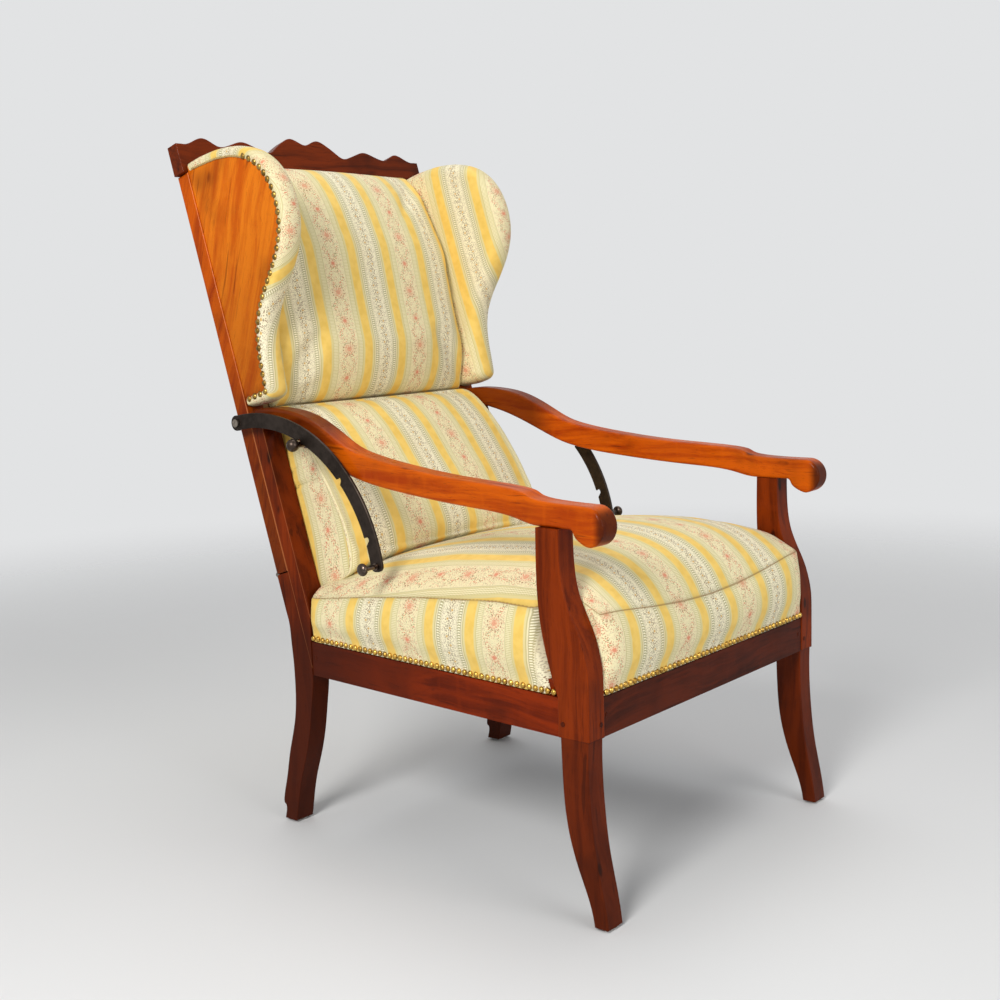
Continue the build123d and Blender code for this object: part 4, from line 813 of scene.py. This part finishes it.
lowerPad = {
    "halfWidth": 0.2378, "narrowHalf": 0.2332, "rear": 0.0298, "edge": 0.010,
    "sides": (
        (-0.0048, 0.0298), (-0.0048, 0.128), (0.002, 0.142), (0.014, 0.149), (0.032, 0.150), (0.050, 0.147),
        (0.068, 0.143), (0.103, 0.1355), (0.144, 0.1225), (0.185, 0.1085), (0.210, 0.0975), (0.229, 0.0865),
        (0.247, 0.073), (0.258, 0.06), (0.2638, 0.047), (0.2638, 0.0298),
    ),
    "crown": ((0, 0.016), (0.07, 0.016), (0.14, 0.012), (0.25, 0.010)),
    "sideBulge": 0.0015, "sideStripesAt": 0.101, "sideSlack": 0.0012,
    "settleFrom": 0.06, "restGap": 0.0022, "mostDrop": 0.034, "mostLift": 0.012,
    "folds": (  # ends along the back and forward, depth, half width
        ((0.127, 0.030), (0.1315, 0.108), 0.0038, 0.0046),
        ((0.147, 0.030), (0.160, 0.070), 0.0030, 0.0042),
        ((0.200, 0.034), (0.188, 0.062), 0.0018, 0.0050),
    ),
    "rows": 104, "columns": 48, "cornerSteps": 6, "sideColumns": 20,
    "pressure": 3.2, "mostMove": 0.007,
}


def lowerHalf(along):
    wide, narrow = lowerPad["halfWidth"], lowerPad["narrowHalf"]
    return wide - (wide - narrow) * smooth((along - 0.15) / 0.06)


def restOnSeat(points, along, forward):
    # the lower edge comes down to rest on the seat
    low, top = lowerPad["sides"][0][0], lowerPad["settleFrom"]
    for index in np.flatnonzero(along < top):
        foot = Vector(onBack(points[index, 0], low, forward[index]))
        met, spot, _, _ = seatCover.ray_cast(foot + Vector((0, 0, 0.12)), (0, 0, -1))
        if met and spot.z > 0.36:
            drop = max(foot.z - spot.z - lowerPad["restGap"], -lowerPad["mostLift"])
            share = smooth(1 - (along[index] + 0.005) / (top + 0.005))
            share *= smooth((forward[index] - 0.03) / 0.02)
            points[index, 2] -= min(drop, lowerPad["mostDrop"]) * share


def makeLowerPad():
    panels = padPanels(lowerPad, lowerHalf)
    piece = sewPanels("lumbar_pad_cover", panels)
    start = readPoints(piece.data)
    along, forward = fromBack(start)
    edge = readOff(lowerPad["sides"][1:-1], along)
    atEdge = (np.abs(np.abs(start[:, 0]) - lowerHalf(along)) < 0.004) & (np.abs(forward - edge) < 0.012)
    stuff(piece, np.max([tackedBehind(forward), along < 0.002, atEdge * 0.7], axis=0), lowerPad)
    points = readPoints(piece.data)
    along, forward = fromBack(points)
    reach = lowerHalf(along) + lowerPad["sideSlack"]
    points[:, 0] = np.clip(points[:, 0], -reach, reach)
    seams = panels[0][0]
    # seams and folds are marked as creases; the cover paints shade along them, and a painted shadow line in
    # the folds
    creased = 0.93 * (nearest(start, np.concatenate([seams[3:, 0], seams[3:, -1]])) < 0.0006)
    for (a0, b0), (a1, b1), depth, half in lowerPad["folds"]:
        a, b, runA, runB = along - a0, forward - b0, a1 - a0, b1 - b0
        share = np.clip((a * runA + b * runB) / (runA ** 2 + runB ** 2), 0, 1)
        gap = np.hypot(a - share * runA, b - share * runB)
        onSide = np.abs(points[:, 0]) > reach - 0.004
        creased = np.maximum(creased, onSide * (0.97 - 0.08 * share) * (gap < 0.0021))
        dent = np.exp(-(gap / half) ** 2) - 0.35 * np.exp(-((gap / half - 1.9) / 0.8) ** 2)
        points[:, 0] -= np.sign(points[:, 0]) * onSide * depth * np.sqrt(1 - share * 0.9) * dent
    restOnSeat(points, along, forward)
    writePoints(piece, points)
    markPoints(piece, "crease", creased)
    subdivide(piece)
    return dress(piece, coverCloth, "back", "striped_cover", "lower_back_pad")


wing = {
    "boardOuter": 0.2745, "boardThick": 0.0142, "inner": 0.2308, "swell": 0.0022,
    "bottom": 0.276, "height": 0.400, "rear": 0.029, "reach": 0.188,
    "bow": (  # the board's front edge: share of its height, share of its reach
        (0, 0.314), (0.08, 0.333), (0.16, 0.352), (0.235, 0.39), (0.3, 0.455), (0.36, 0.56), (0.43, 0.72),
        (0.5, 0.86), (0.58, 0.96), (0.68, 1), (0.77, 0.975), (0.84, 0.91), (0.9, 0.8), (0.945, 0.64),
        (0.98, 0.4), (0.995, 0.16),
    ),
    "section": (  # out from the board's edge, across from the middle of the chair
        (-0.0095, 0.27485), (-0.0055, 0.2760), (0.0, 0.2764), (0.0036, 0.2745), (0.0062, 0.2700),
        (0.0078, 0.2635), (0.0082, 0.2560), (0.0070, 0.2480), (0.0036, 0.2400), (-0.0020, 0.2345),
        (-0.0100, 0.2316), (-0.0200, 0.2308),
    ),
    "spine": (0.292, 0.662), "spineForward": 0.031,
    "columns": 120, "sectionRows": 24, "innerRows": 12,
    "stripesAt": 0.149,
}


def wingEdge(count):
    # the board's edge and the way out from it, in the board's plane
    bottom, rear = wing["bottom"], wing["rear"]
    top = bottom + wing["height"]
    bow = rounded([(bottom + a * wing["height"], rear + b * wing["reach"]) for a, b in wing["bow"]], count)
    low = joined(bottom, np.linspace(0.033, bow[0, 1] - 0.004, 8))
    high = np.array([[top, rear + 0.012], [top, 0.033]])
    line = evenly(np.concatenate([low, bow[1:], high]), count)
    step = np.gradient(line, axis=0)
    step /= np.linalg.norm(step, axis=1, keepdims=True)
    outward = joined(-step[:, 1], step[:, 0])
    if ((line - line.mean(axis=0)) * outward).sum() < 0:
        outward = -outward
    return line, outward


def makeWingPad(side, sign):
    count = wing["columns"]
    line, outward = wingEdge(count)
    shares = np.linspace(0, 1, count)
    low, high = wing["spine"]
    spine = joined(low + (high - low) * shares, wing["spineForward"])
    section = rounded(wing["section"], wing["sectionRows"])
    run = lineLength(section)
    lip = 0.6 + 0.4 * smooth(np.minimum(shares, 1 - shares) / 0.05)
    rows = []

    def addRow(flat, across, unrolled):
        places = joined(unrolled[:, 1] - wing["stripesAt"], unrolled[:, 0])
        rows.append((onBack(sign * across, flat[:, 0], flat[:, 1]), places))

    for (out, across), length in zip(section, run):
        reach = out * lip if out > 0 else np.full(count, out)
        addRow(line + outward * reach[:, None], across, line + outward * (section[-1][0] + run[-1] - length))
    rim = line + outward * section[-1][0]
    for share in np.linspace(0, 1, wing["innerRows"])[1:]:
        flat = rim + (spine - rim) * share
        addRow(flat, wing["inner"] - wing["swell"] * sin(pi * share), flat)
    points, places = rows[-1]
    behind = onBack(sign * (wing["boardOuter"] - wing["boardThick"]), spine[:, 0], spine[:, 1])
    piece = sewPanels(f"wing_cover_{side}", [panel(rows), panel([(points, places), (behind, places)])])
    subdivide(piece)
    return dress(piece, coverCloth, "back", "striped_cover", f"wing_pad_{side}")


for side, sign in (("right", -1), ("left", 1)):
    makeWingPad(side, sign)
print("wing covers made")


seat = {
    "halfFront": 0.3105, "halfRear": 0.2755,
    "legInner": 0.2755, "postInner": 0.2395,
    "frontEnd": -0.36117, "rearEnd": 0.15483,
    "front": -0.4112, "rear": 0.1943,
    "low": 0.3114, "cavity": 0.3348, "hem": 0.0022,
    "sideBulge": 0.012, "frontBulge": 0.014,
    "postBack": (  # height, the front post's rear face
        (0.311, -0.3595), (0.321, -0.3578), (0.347, -0.3477), (0.386, -0.3378), (0.426, -0.3307),
        (0.493, -0.3277),
    ),
    "sideSeam": (  # front to rear, height
        (-0.42, 0.417), (-0.36, 0.427), (-0.25, 0.427), (-0.1, 0.413), (0.03, 0.397), (0.13, 0.383),
        (0.2, 0.377),
    ),
    "frontSeam": (  # from the middle, height
        (0, 0.400), (0.08, 0.401), (0.15, 0.405), (0.21, 0.411), (0.25, 0.416), (0.276, 0.418),
    ),
    "crown": (  # front to rear, height over the seams
        (-0.42, 0.02), (-0.40, 0.030), (-0.363, 0.046), (-0.31, 0.057), (-0.25, 0.062), (-0.1, 0.066),
        (0.03, 0.058), (0.13, 0.043), (0.2, 0.028),
    ),
    "crownAcross": ((0, 1), (0.38, 0.95), (0.72, 0.76), (0.93, 0.38), (1, 0)),
    "frontRound": 0.085, "corner": 0.005,
    "columns": 48, "levels": 13, "edgeSteps": (9, 4, 46, 4, 4),
    "sideStripesAt": -0.168,
    "tackedBelow": 0.336, "tackedBehind": 0.15, "nailBand": 0.326,
    "pressure": 3.4, "mostMove": 0.008,
}


def seatHalf(y):
    share = (y - seat["frontEnd"]) / (seat["rearEnd"] - seat["frontEnd"])
    return seat["halfFront"] + (seat["halfRear"] - seat["halfFront"]) * share


def cornerBack(z):
    # the front corners are rounded off above the nails
    return seat["corner"] * smooth((z - 0.324) / 0.05)


def seatEdge(z):
    # one side of the seat's plan at this height, front to rear, notched for the leg and post
    leg, inner = seat["legInner"], seat["postInner"]
    post, rear = float(readOff(seat["postBack"], z)), seat["rearEnd"] - 0.0016
    corners = np.array([
        (leg, seat["front"] + cornerBack(z)), (leg, post), (seatHalf(post), post),
        (seatHalf(rear), rear), (inner, rear), (inner, seat["rear"]),
    ])
    line = []
    for start, stop, steps in zip(corners, corners[1:], seat["edgeSteps"]):
        line += [start + (stop - start) * share for share in np.arange(steps) / steps]
    return np.array(line + [corners[-1]])


def seatTop(x, y, half):
    crown = readOff(seat["crownAcross"], np.clip(np.abs(x) / half, 0, 1))
    usual = readOff(seat["sideSeam"], y) + readOff(seat["crown"], y) * crown
    creaseLine = readOff(seat["frontSeam"], np.abs(x))
    near = np.clip((y - seat["front"]) / seat["frontRound"], 0, 1)
    return creaseLine + (usual - creaseLine) * np.sqrt(1 - (1 - near) ** 2)


def swollen(rise, power):
    # how far a border swells at this share of its height, nothing at its two seams
    return np.sin(pi * rise ** power) ** 0.75 if 0 < rise < 1 else 0.0


def seatBorders(top, topEdge, shares):
    # the panels from the seams down to the nails: front, right, left and rear
    low = seat["low"]
    rises = 1 - np.linspace(0, 1, seat["levels"])
    front, rear = top[0], top[-1]
    onSide = (topEdge[:, 1] > seat["postBack"][-1][1] - 0.004) & (topEdge[:, 1] < seat["rearEnd"] - 0.003)
    rows = []
    for rise in rises:
        heights = low + (front[:, 2] - low) * rise
        swell = seat["frontBulge"] * swollen(rise, 1.15) * np.clip((heights - low - 0.008) / 0.028, 0, 1)
        ends = np.clip((seat["legInner"] - np.abs(front[:, 0])) / 0.02, 0, 1) ** 0.5
        plan = seat["front"] + cornerBack(heights) * np.abs(shares) ** 3
        places = joined(front[:, 0], heights - front[:, 2])
        rows.append((joined(front[:, 0], plan - swell * ends, heights), places))
    panels = [panel(rows)]
    for sign, creaseLine in ((-1, top[:, 0]), (1, top[:, -1])):
        rows = []
        for rise in rises:
            heights = low + (creaseLine[:, 2] - low) * rise
            edges = np.array([seatEdge(h)[i] for i, h in enumerate(heights)]) if rise < 1 else topEdge
            x, y = edges.T
            swell = seat["sideBulge"] * swollen(rise, 1.1) * np.clip((heights - low - 0.012) / 0.02, 0, 1)
            ends = np.clip(np.minimum(y + 0.33, 0.1525 - y) / 0.015, 0, 1) ** 0.5
            around = y - seat["sideStripesAt"] + np.where(onSide, 0, x - 0.3)
            points = joined(sign * (x + swell * ends * onSide), y, heights)
            rows.append((points, joined(around, heights - 0.4)))
        panels.append(panel(rows))
    rows = []
    for rise in rises:
        heights = low + (rear[:, 2] - low) * rise
        rows.append((joined(rear[:, 0], rear[:, 1], heights), joined(rear[:, 0], heights)))
    return panels + [panel(rows)]


def seatUnderside(shares, lean):
    # turned under at the lower edge, then up inside to the level of the stuffing
    low, cavity, hem = seat["low"], seat["cavity"], seat["hem"]
    panels = []

    def turnUnder(x, y, innerX, innerY):
        grid = np.array([joined(x, y, low), joined(innerX, innerY, low), joined(innerX, innerY, cavity)])
        panels.append((grid, grid[..., :2]))

    x, y = seatEdge(low).T
    innerX, innerY = x - hem, np.clip(y, seat["front"] + hem, seat["rear"] - hem)
    for sign in (-1, 1):
        turnUnder(sign * x, y, sign * innerX, innerY)
    for place, shift, half in ((seat["front"], hem, x[0]), (seat["rear"], -hem, x[-1])):
        turnUnder(shares * half, place, shares * (half - hem), place + shift)
    middle = np.linspace(seat["front"] + hem, seat["rear"] - hem, len(x))
    under = joined(innerX[:, None] * shares, middle[:, None] + (innerY - middle)[:, None] * lean, cavity)
    return panels + [(under, under[..., :2])]


def makeSeat():
    columns = seat["columns"]
    topEdge = seatEdge(0.42)
    middle = np.linspace(seat["front"], seat["rear"], len(topEdge))
    shares = np.linspace(-1, 1, columns + 1)
    lean = np.abs(shares)[None, :] ** 3
    across = topEdge[:, 0][:, None] * shares
    down = middle[:, None] + (topEdge[:, 1] - middle)[:, None] * lean
    top = joined(across, down, seatTop(across, down, seatHalf(down)))
    run = lineLength(top[:, columns // 2, 1:])
    panels = [(top, joined(across, run[:, None]))]
    panels += seatBorders(top, topEdge, shares) + seatUnderside(shares, lean)
    piece = sewPanels("seat_cover", panels, 0.0004)

    points = readPoints(piece.data)
    gaps = nearest(points, np.concatenate([top[0], top[:, 0], top[:, -1]]))
    inPost = (points[:, 1] < -0.326) & (np.abs(points[:, 0]) > 0.272)
    tacked = (points[:, 2] < seat["tackedBelow"]) | (points[:, 1] > seat["tackedBehind"]) | inPost
    stuff(piece, np.maximum(tacked, (gaps < 0.001) * 0.92), seat)
    points = readPoints(piece.data)
    beside = points[:, 1] < readOff(seat["postBack"], points[:, 2]) + 0.0005
    points[beside, 0] = np.clip(points[beside, 0], -seat["legInner"], seat["legInner"])
    atNails = (points[:, 2] < seat["nailBand"]) & (points[:, 1] < -0.4)
    points[atNails, 1] = np.clip(points[atNails, 1], seat["front"], None)
    writePoints(piece, points)
    # the seams are marked as creases, along which the cover paints shade and a dark stitch line
    markPoints(piece, "crease", gaps < 0.0008)
    subdivide(piece)
    return dress(piece, coverCloth, "frame", "striped_cover", "seat_cushion")


seatCover = makeSeat()
print("seat made")

makeUpperPad()
makeLowerPad()
print("back pads made")


outsideBack = {
    "half": 0.262, "low": 0.036, "high": 0.6655, "forward": 0.0009, "thick": 0.0012, "sag": 0.0006,
    "rows": 60, "columns": 50,
}


def makeOutsideBack():
    half, low, high = outsideBack["half"], outsideBack["low"], outsideBack["high"]
    up = np.linspace(low, high, outsideBack["rows"])
    x, a = np.meshgrid(np.linspace(-half, half, outsideBack["columns"]), up)
    inside = np.sin(pi * (x / half + 1) / 2) * np.sin(pi * (a - low) / (high - low))
    sag = outsideBack["sag"] * inside * (0.6 + 0.4 * np.sin(x * 40 + a * 9))
    rear, front = (
        onBack(x, a, outsideBack["forward"] + shift + sag)
        for shift in (-outsideBack["thick"] / 2, outsideBack["thick"] / 2)
    )
    places = joined(x, a)
    panels = [(rear, places), (front, places)]
    for pick in (np.s_[0, :], np.s_[-1, :], np.s_[:, 0], np.s_[:, -1]):
        panels.append(panel([(rear[pick], places[pick]), (front[pick], places[pick])]))
    piece = sewPanels("outside_back_cloth", panels)
    shadeSmooth(piece)
    dress(piece, coverCloth, "back", "striped_cover", "outside_back_cover")


makeOutsideBack()

underCloth = {"inset": 0.0102, "slack": 0.0015, "thick": 0.0007, "sag": 0.004, "mesh": 0.03}


def makeUnderCloth():
    low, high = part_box("bottoming_cloth")
    front, rear, inset = low.y, high.y, underCloth["inset"]
    step, rearStep = seat["frontEnd"] + inset, seat["rearEnd"] - inset
    narrow, narrowRear = seat["legInner"], seat["postInner"]
    wideFront, wideRear = (seatHalf(y) + underCloth["slack"] - inset for y in (step, rearStep))
    half = [
        (narrow, front), (narrow, step), (wideFront, step),
        (wideRear, rearStep), (narrowRear, rearStep), (narrowRear, rear),
    ]
    outline = half + [(-x, y) for x, y in half[::-1]]
    shape = bmesh.new()
    z = (low.z + high.z) / 2 + underCloth["thick"] / 2
    shape.faces.new([shape.verts.new((x, y, z)) for x, y in outline])
    for direction, start, stop in (((1, 0, 0), -0.3, 0.31), ((0, 1, 0), front, rear)):
        for place in np.arange(start + underCloth["mesh"], stop, underCloth["mesh"]):
            every, centre = shape.verts[:] + shape.edges[:] + shape.faces[:], Vector(direction) * float(place)
            bmesh.ops.bisect_plane(shape, geom=every, plane_co=centre, plane_no=direction)
    for vert in shape.verts:
        x, y, _ = vert.co
        inside = min(1, max(0, (0.27 - abs(x)) / 0.1)) * min(1, max(0, min(y - front, rear - y) / 0.1))
        vert.co.z -= underCloth["sag"] * inside * (0.8 + 0.2 * sin(x * 35) * cos(y * 28))
    mesh = bpy.data.meshes.new("under_cloth")
    shape.to_mesh(mesh)
    shape.free()
    piece = newObject("under_cloth", mesh)
    skin = piece.modifiers.new("thickness", "SOLIDIFY")
    skin.thickness = underCloth["thick"]
    skin.offset = -1
    bake(piece)
    dress(piece, finishes["blackCloth"], "frame", "coarse_cloth", "bottoming_cloth")


makeUnderCloth()
print("sheets made")


def nailTree():
    tree = bpy.data.node_groups.new("coverNails", "GeometryNodeTree")
    for name, kind in (
        ("Line", "Geometry"), ("Spacing", "Float"), ("Head radius", "Float"), ("Head height", "Float"),
        ("Shift", "Float"), ("Seed", "Int"), ("Finish", "Material"),
    ):
        tree.interface.new_socket(name, in_out="INPUT", socket_type="NodeSocket" + kind)
    tree.interface.new_socket("Nails", in_out="OUTPUT", socket_type="NodeSocketGeometry")
    add, link = tree.nodes.new, tree.links.new
    into, out = add("NodeGroupInput"), add("NodeGroupOutput")

    def randomVector(reach):
        node = add("FunctionNodeRandomValue")
        node.data_type = "FLOAT_VECTOR"
        node.inputs[0].default_value = (-reach, -reach, -reach)
        node.inputs[1].default_value = (reach, reach, reach)
        link(into.outputs["Seed"], node.inputs["Seed"])
        return node.outputs[0]

    curve, points = add("GeometryNodeMeshToCurve"), add("GeometryNodeResampleCurve")
    points.mode = "LENGTH"
    link(into.outputs["Line"], curve.inputs["Mesh"])
    link(curve.outputs["Curve"], points.inputs["Curve"])
    link(into.outputs["Spacing"], points.inputs["Length"])
    shift, moved = add("ShaderNodeVectorMath"), add("GeometryNodeSetPosition")
    shift.operation = "SCALE"
    link(randomVector(1), shift.inputs[0])
    link(into.outputs["Shift"], shift.inputs["Scale"])
    link(points.outputs["Curve"], moved.inputs["Geometry"])
    link(shift.outputs[0], moved.inputs["Offset"])

    ball, head = add("GeometryNodeMeshUVSphere"), add("GeometryNodeTransform")
    size = add("ShaderNodeCombineXYZ")
    for name, value in (("Segments", 10), ("Rings", 6), ("Radius", 1)):
        ball.inputs[name].default_value = value
    for axis, name in enumerate(("Head radius", "Head radius", "Head height")):
        link(into.outputs[name], size.inputs[axis])
    link(ball.outputs["Mesh"], head.inputs["Geometry"])
    link(size.outputs[0], head.inputs["Scale"])

    outward, tilted = add("GeometryNodeInputNamedAttribute"), add("ShaderNodeVectorMath")
    outward.data_type = "FLOAT_VECTOR"
    outward.inputs["Name"].default_value = "outward"
    link(outward.outputs[0], tilted.inputs[0])
    link(randomVector(0.14), tilted.inputs[1])
    turn, place = add("FunctionNodeAlignEulerToVector"), add("GeometryNodeInstanceOnPoints")
    turn.axis = "Z"
    link(tilted.outputs[0], turn.inputs["Vector"])
    link(moved.outputs["Geometry"], place.inputs["Points"])
    link(head.outputs["Geometry"], place.inputs["Instance"])
    link(turn.outputs["Rotation"], place.inputs["Rotation"])

    whole, shade, paint = (
        add("GeometryNode" + kind) for kind in ("RealizeInstances", "SetShadeSmooth", "SetMaterial")
    )
    link(place.outputs["Instances"], whole.inputs["Geometry"])
    link(whole.outputs["Geometry"], shade.inputs["Geometry"])
    link(shade.outputs["Geometry"], paint.inputs["Geometry"])
    link(into.outputs["Finish"], paint.inputs["Material"])
    link(paint.outputs["Geometry"], out.inputs["Nails"])
    return tree


nailGroup = nailTree()


def nailRow(name, lines, row, body, slotName, finish, *replaced):
    # lines are (points, outward) in metres; one head at each step along them
    mesh = bpy.data.meshes.new(name)
    points, edges, normals = [], [], []
    for line, outward in lines:
        edges += [(len(points) + i, len(points) + i + 1) for i in range(len(line) - 1)]
        points += [tuple(p) for p in line]
        normals += [tuple(n) for n in outward]
    mesh.from_pydata(points, edges, [])
    mark = mesh.attributes.new("outward", "FLOAT_VECTOR", "POINT")
    mark.data.foreach_set("vector", np.array(normals, np.float32).ravel())
    piece = newObject(name, mesh)
    nails = piece.modifiers.new("nails", "NODES")
    nails.node_group = nailGroup
    values = {
        "Spacing": row["pitch"], "Head radius": row["radius"], "Head height": row["height"],
        "Shift": row["shift"], "Seed": row["seed"], "Finish": finish,
    }
    for item in nailGroup.interface.items_tree:
        if item.name in values:
            nails[item.identifier] = values[item.name]
    return dress(bake(piece), finish, body, slotName, *replaced)


seatNails = {"pitch": 0.0110, "radius": 0.0047, "height": 0.0038, "shift": 0.0003, "seed": 4, "z": 0.3176}
wingNails = {
    "pitch": 0.0134, "radius": 0.0054, "height": 0.0034, "shift": 0.0005, "seed": 9,
    "inset": 0.0065, "clearTop": 0.62, "clearAhead": 0.158,
}
trimCord = {"pitch": 0.0041, "radius": 0.0019, "height": 0.0015, "shift": 0.0002, "seed": 3, "inset": 0.0085}


def seatNailLines():
    z, proud = seatNails["z"], 0.0003
    lines = []
    for half, y, way in ((0.2705, seat["front"] - proud, -1), (0.2345, seat["rear"] + proud, 1)):
        lines.append((joined(np.linspace(-half, half, 20), y, z), np.tile((0, way, 0), (20, 1))))
    along = np.linspace(seat["frontEnd"] + 0.0065, seat["rearEnd"] - 0.0065, 24)
    for sign in (-1, 1):
        lines.append((joined(sign * (seatHalf(along) + proud), along, z), np.tile((sign, 0.068, 0), (24, 1))))
    return lines


def wingLines(row, top):
    # beside the edge of each wing board, either up its top or round the rest of it
    edge, outward = wingEdge(90)
    inset = edge - outward * row["inset"]
    atTop = (inset[:, 0] > wingNails["clearTop"]) & (inset[:, 1] < wingNails["clearAhead"])
    kept = inset[(inset[:, 1] > 0.036) & (atTop if top else ~atTop)]
    return [
        (onBack(sign * (wing["boardOuter"] + 0.001), *kept.T), np.tile((sign, 0, 0), (len(kept), 1)))
        for sign in (-1, 1)
    ]


def crestLine():
    ahead = onBack(0, 0, 1) - onBack(0, 0, 0)
    return onBack(np.linspace(-0.229, 0.229, 30), 0.6795, 0.0316), np.tile(ahead, (30, 1))


nailRow("seat_cover_nails", seatNailLines(), seatNails, "frame", "nail_brass",
        finishes["nailBrass"], "seat_nails")
nailRow("wing_cover_nails", wingLines(wingNails, False), wingNails, "back", "nail_brass",
        finishes["darkBrass"], "wing_nails")
nailRow("cover_trim", [*wingLines(trimCord, True), crestLine()], trimCord, "back", "striped_cover",
        finishes["trimCord"])
print("nails and trim set")


studio = {
    "floor": (226, 227, 228), "floorReach": 4, "fade": (1.2, 3.6),
    "worldStrength": 0.3, "aim": (0, 0, 0.5),
    "lamps": (  # name, place, size, watts, tint
        ("key", (-3.0, -0.9, 2.3), 1.3, 92, (1.0, 0.985, 0.96)),
        ("fill", (-0.4, -3.8, 1.7), 2.4, 46, (1.0, 1.0, 1.0)),
        ("top", (0.8, 0.6, 3.2), 2.2, 26, (1.0, 1.0, 1.0)),
    ),
}


def makeWorld():
    world = bpy.data.worlds.new("studio")
    scene.world = world
    world.use_nodes = True
    tree = world.node_tree
    tree.nodes.clear()
    path, soft, shown, mixed, output = (
        tree.nodes.new("ShaderNode" + kind)
        for kind in ("LightPath", "Background", "Background", "MixShader", "OutputWorld")
    )
    soft.inputs["Color"].default_value = (1, 1, 1, 1)
    soft.inputs["Strength"].default_value = studio["worldStrength"]
    shown.inputs["Color"].default_value = colour(*studio["floor"])
    seen = maths(tree, "MAXIMUM", path.outputs["Is Camera Ray"], path.outputs["Is Glossy Ray"])
    put(tree, mixed.inputs[0], maths(tree, "MAXIMUM", seen, path.outputs["Is Transmission Ray"]))
    put(tree, mixed.inputs[1], soft.outputs[0])
    put(tree, mixed.inputs[2], shown.outputs[0])
    put(tree, output.inputs[0], mixed.outputs[0])


def makeFloor():
    # a pale disc that fades out into the backdrop
    finish, tree, shader = newFinish("pale floor")
    shader.inputs["Base Color"].default_value = colour(*studio["floor"])
    shader.inputs["Roughness"].default_value = 0.85
    distance = vectors(tree, "LENGTH", objectPlace(tree)).outputs["Value"]
    clear, mixed = tree.nodes.new("ShaderNodeBsdfTransparent"), tree.nodes.new("ShaderNodeMixShader")
    put(tree, mixed.inputs[0], spread(tree, distance, *studio["fade"]))
    put(tree, mixed.inputs[1], shader.outputs[0])
    put(tree, mixed.inputs[2], clear.outputs[0])
    output = next(node for node in tree.nodes if node.type == "OUTPUT_MATERIAL")
    put(tree, output.inputs[0], mixed.outputs[0])
    mesh = bpy.data.meshes.new("floor")
    turns = 2 * pi * np.arange(64) / 64
    ring = studio["floorReach"] * joined(np.cos(turns), np.sin(turns), 0)
    mesh.from_pydata(ring.tolist(), [], [list(range(64))])
    mesh.materials.append(finish)
    newObject("floor", mesh)


scene.view_settings.view_transform = "Standard"
makeWorld()
for name, place, size, watts, tint in studio["lamps"]:
    lamp = bpy.data.lights.new(name, "AREA")
    lamp.shape = "DISK"
    lamp.size = size
    lamp.energy = watts
    lamp.color = tint
    holder = newObject(name, lamp)
    holder.location = place
    holder.rotation_euler = (Vector(studio["aim"]) - Vector(place)).to_track_quat("-Z", "Y").to_euler()
makeFloor()
print("studio made")
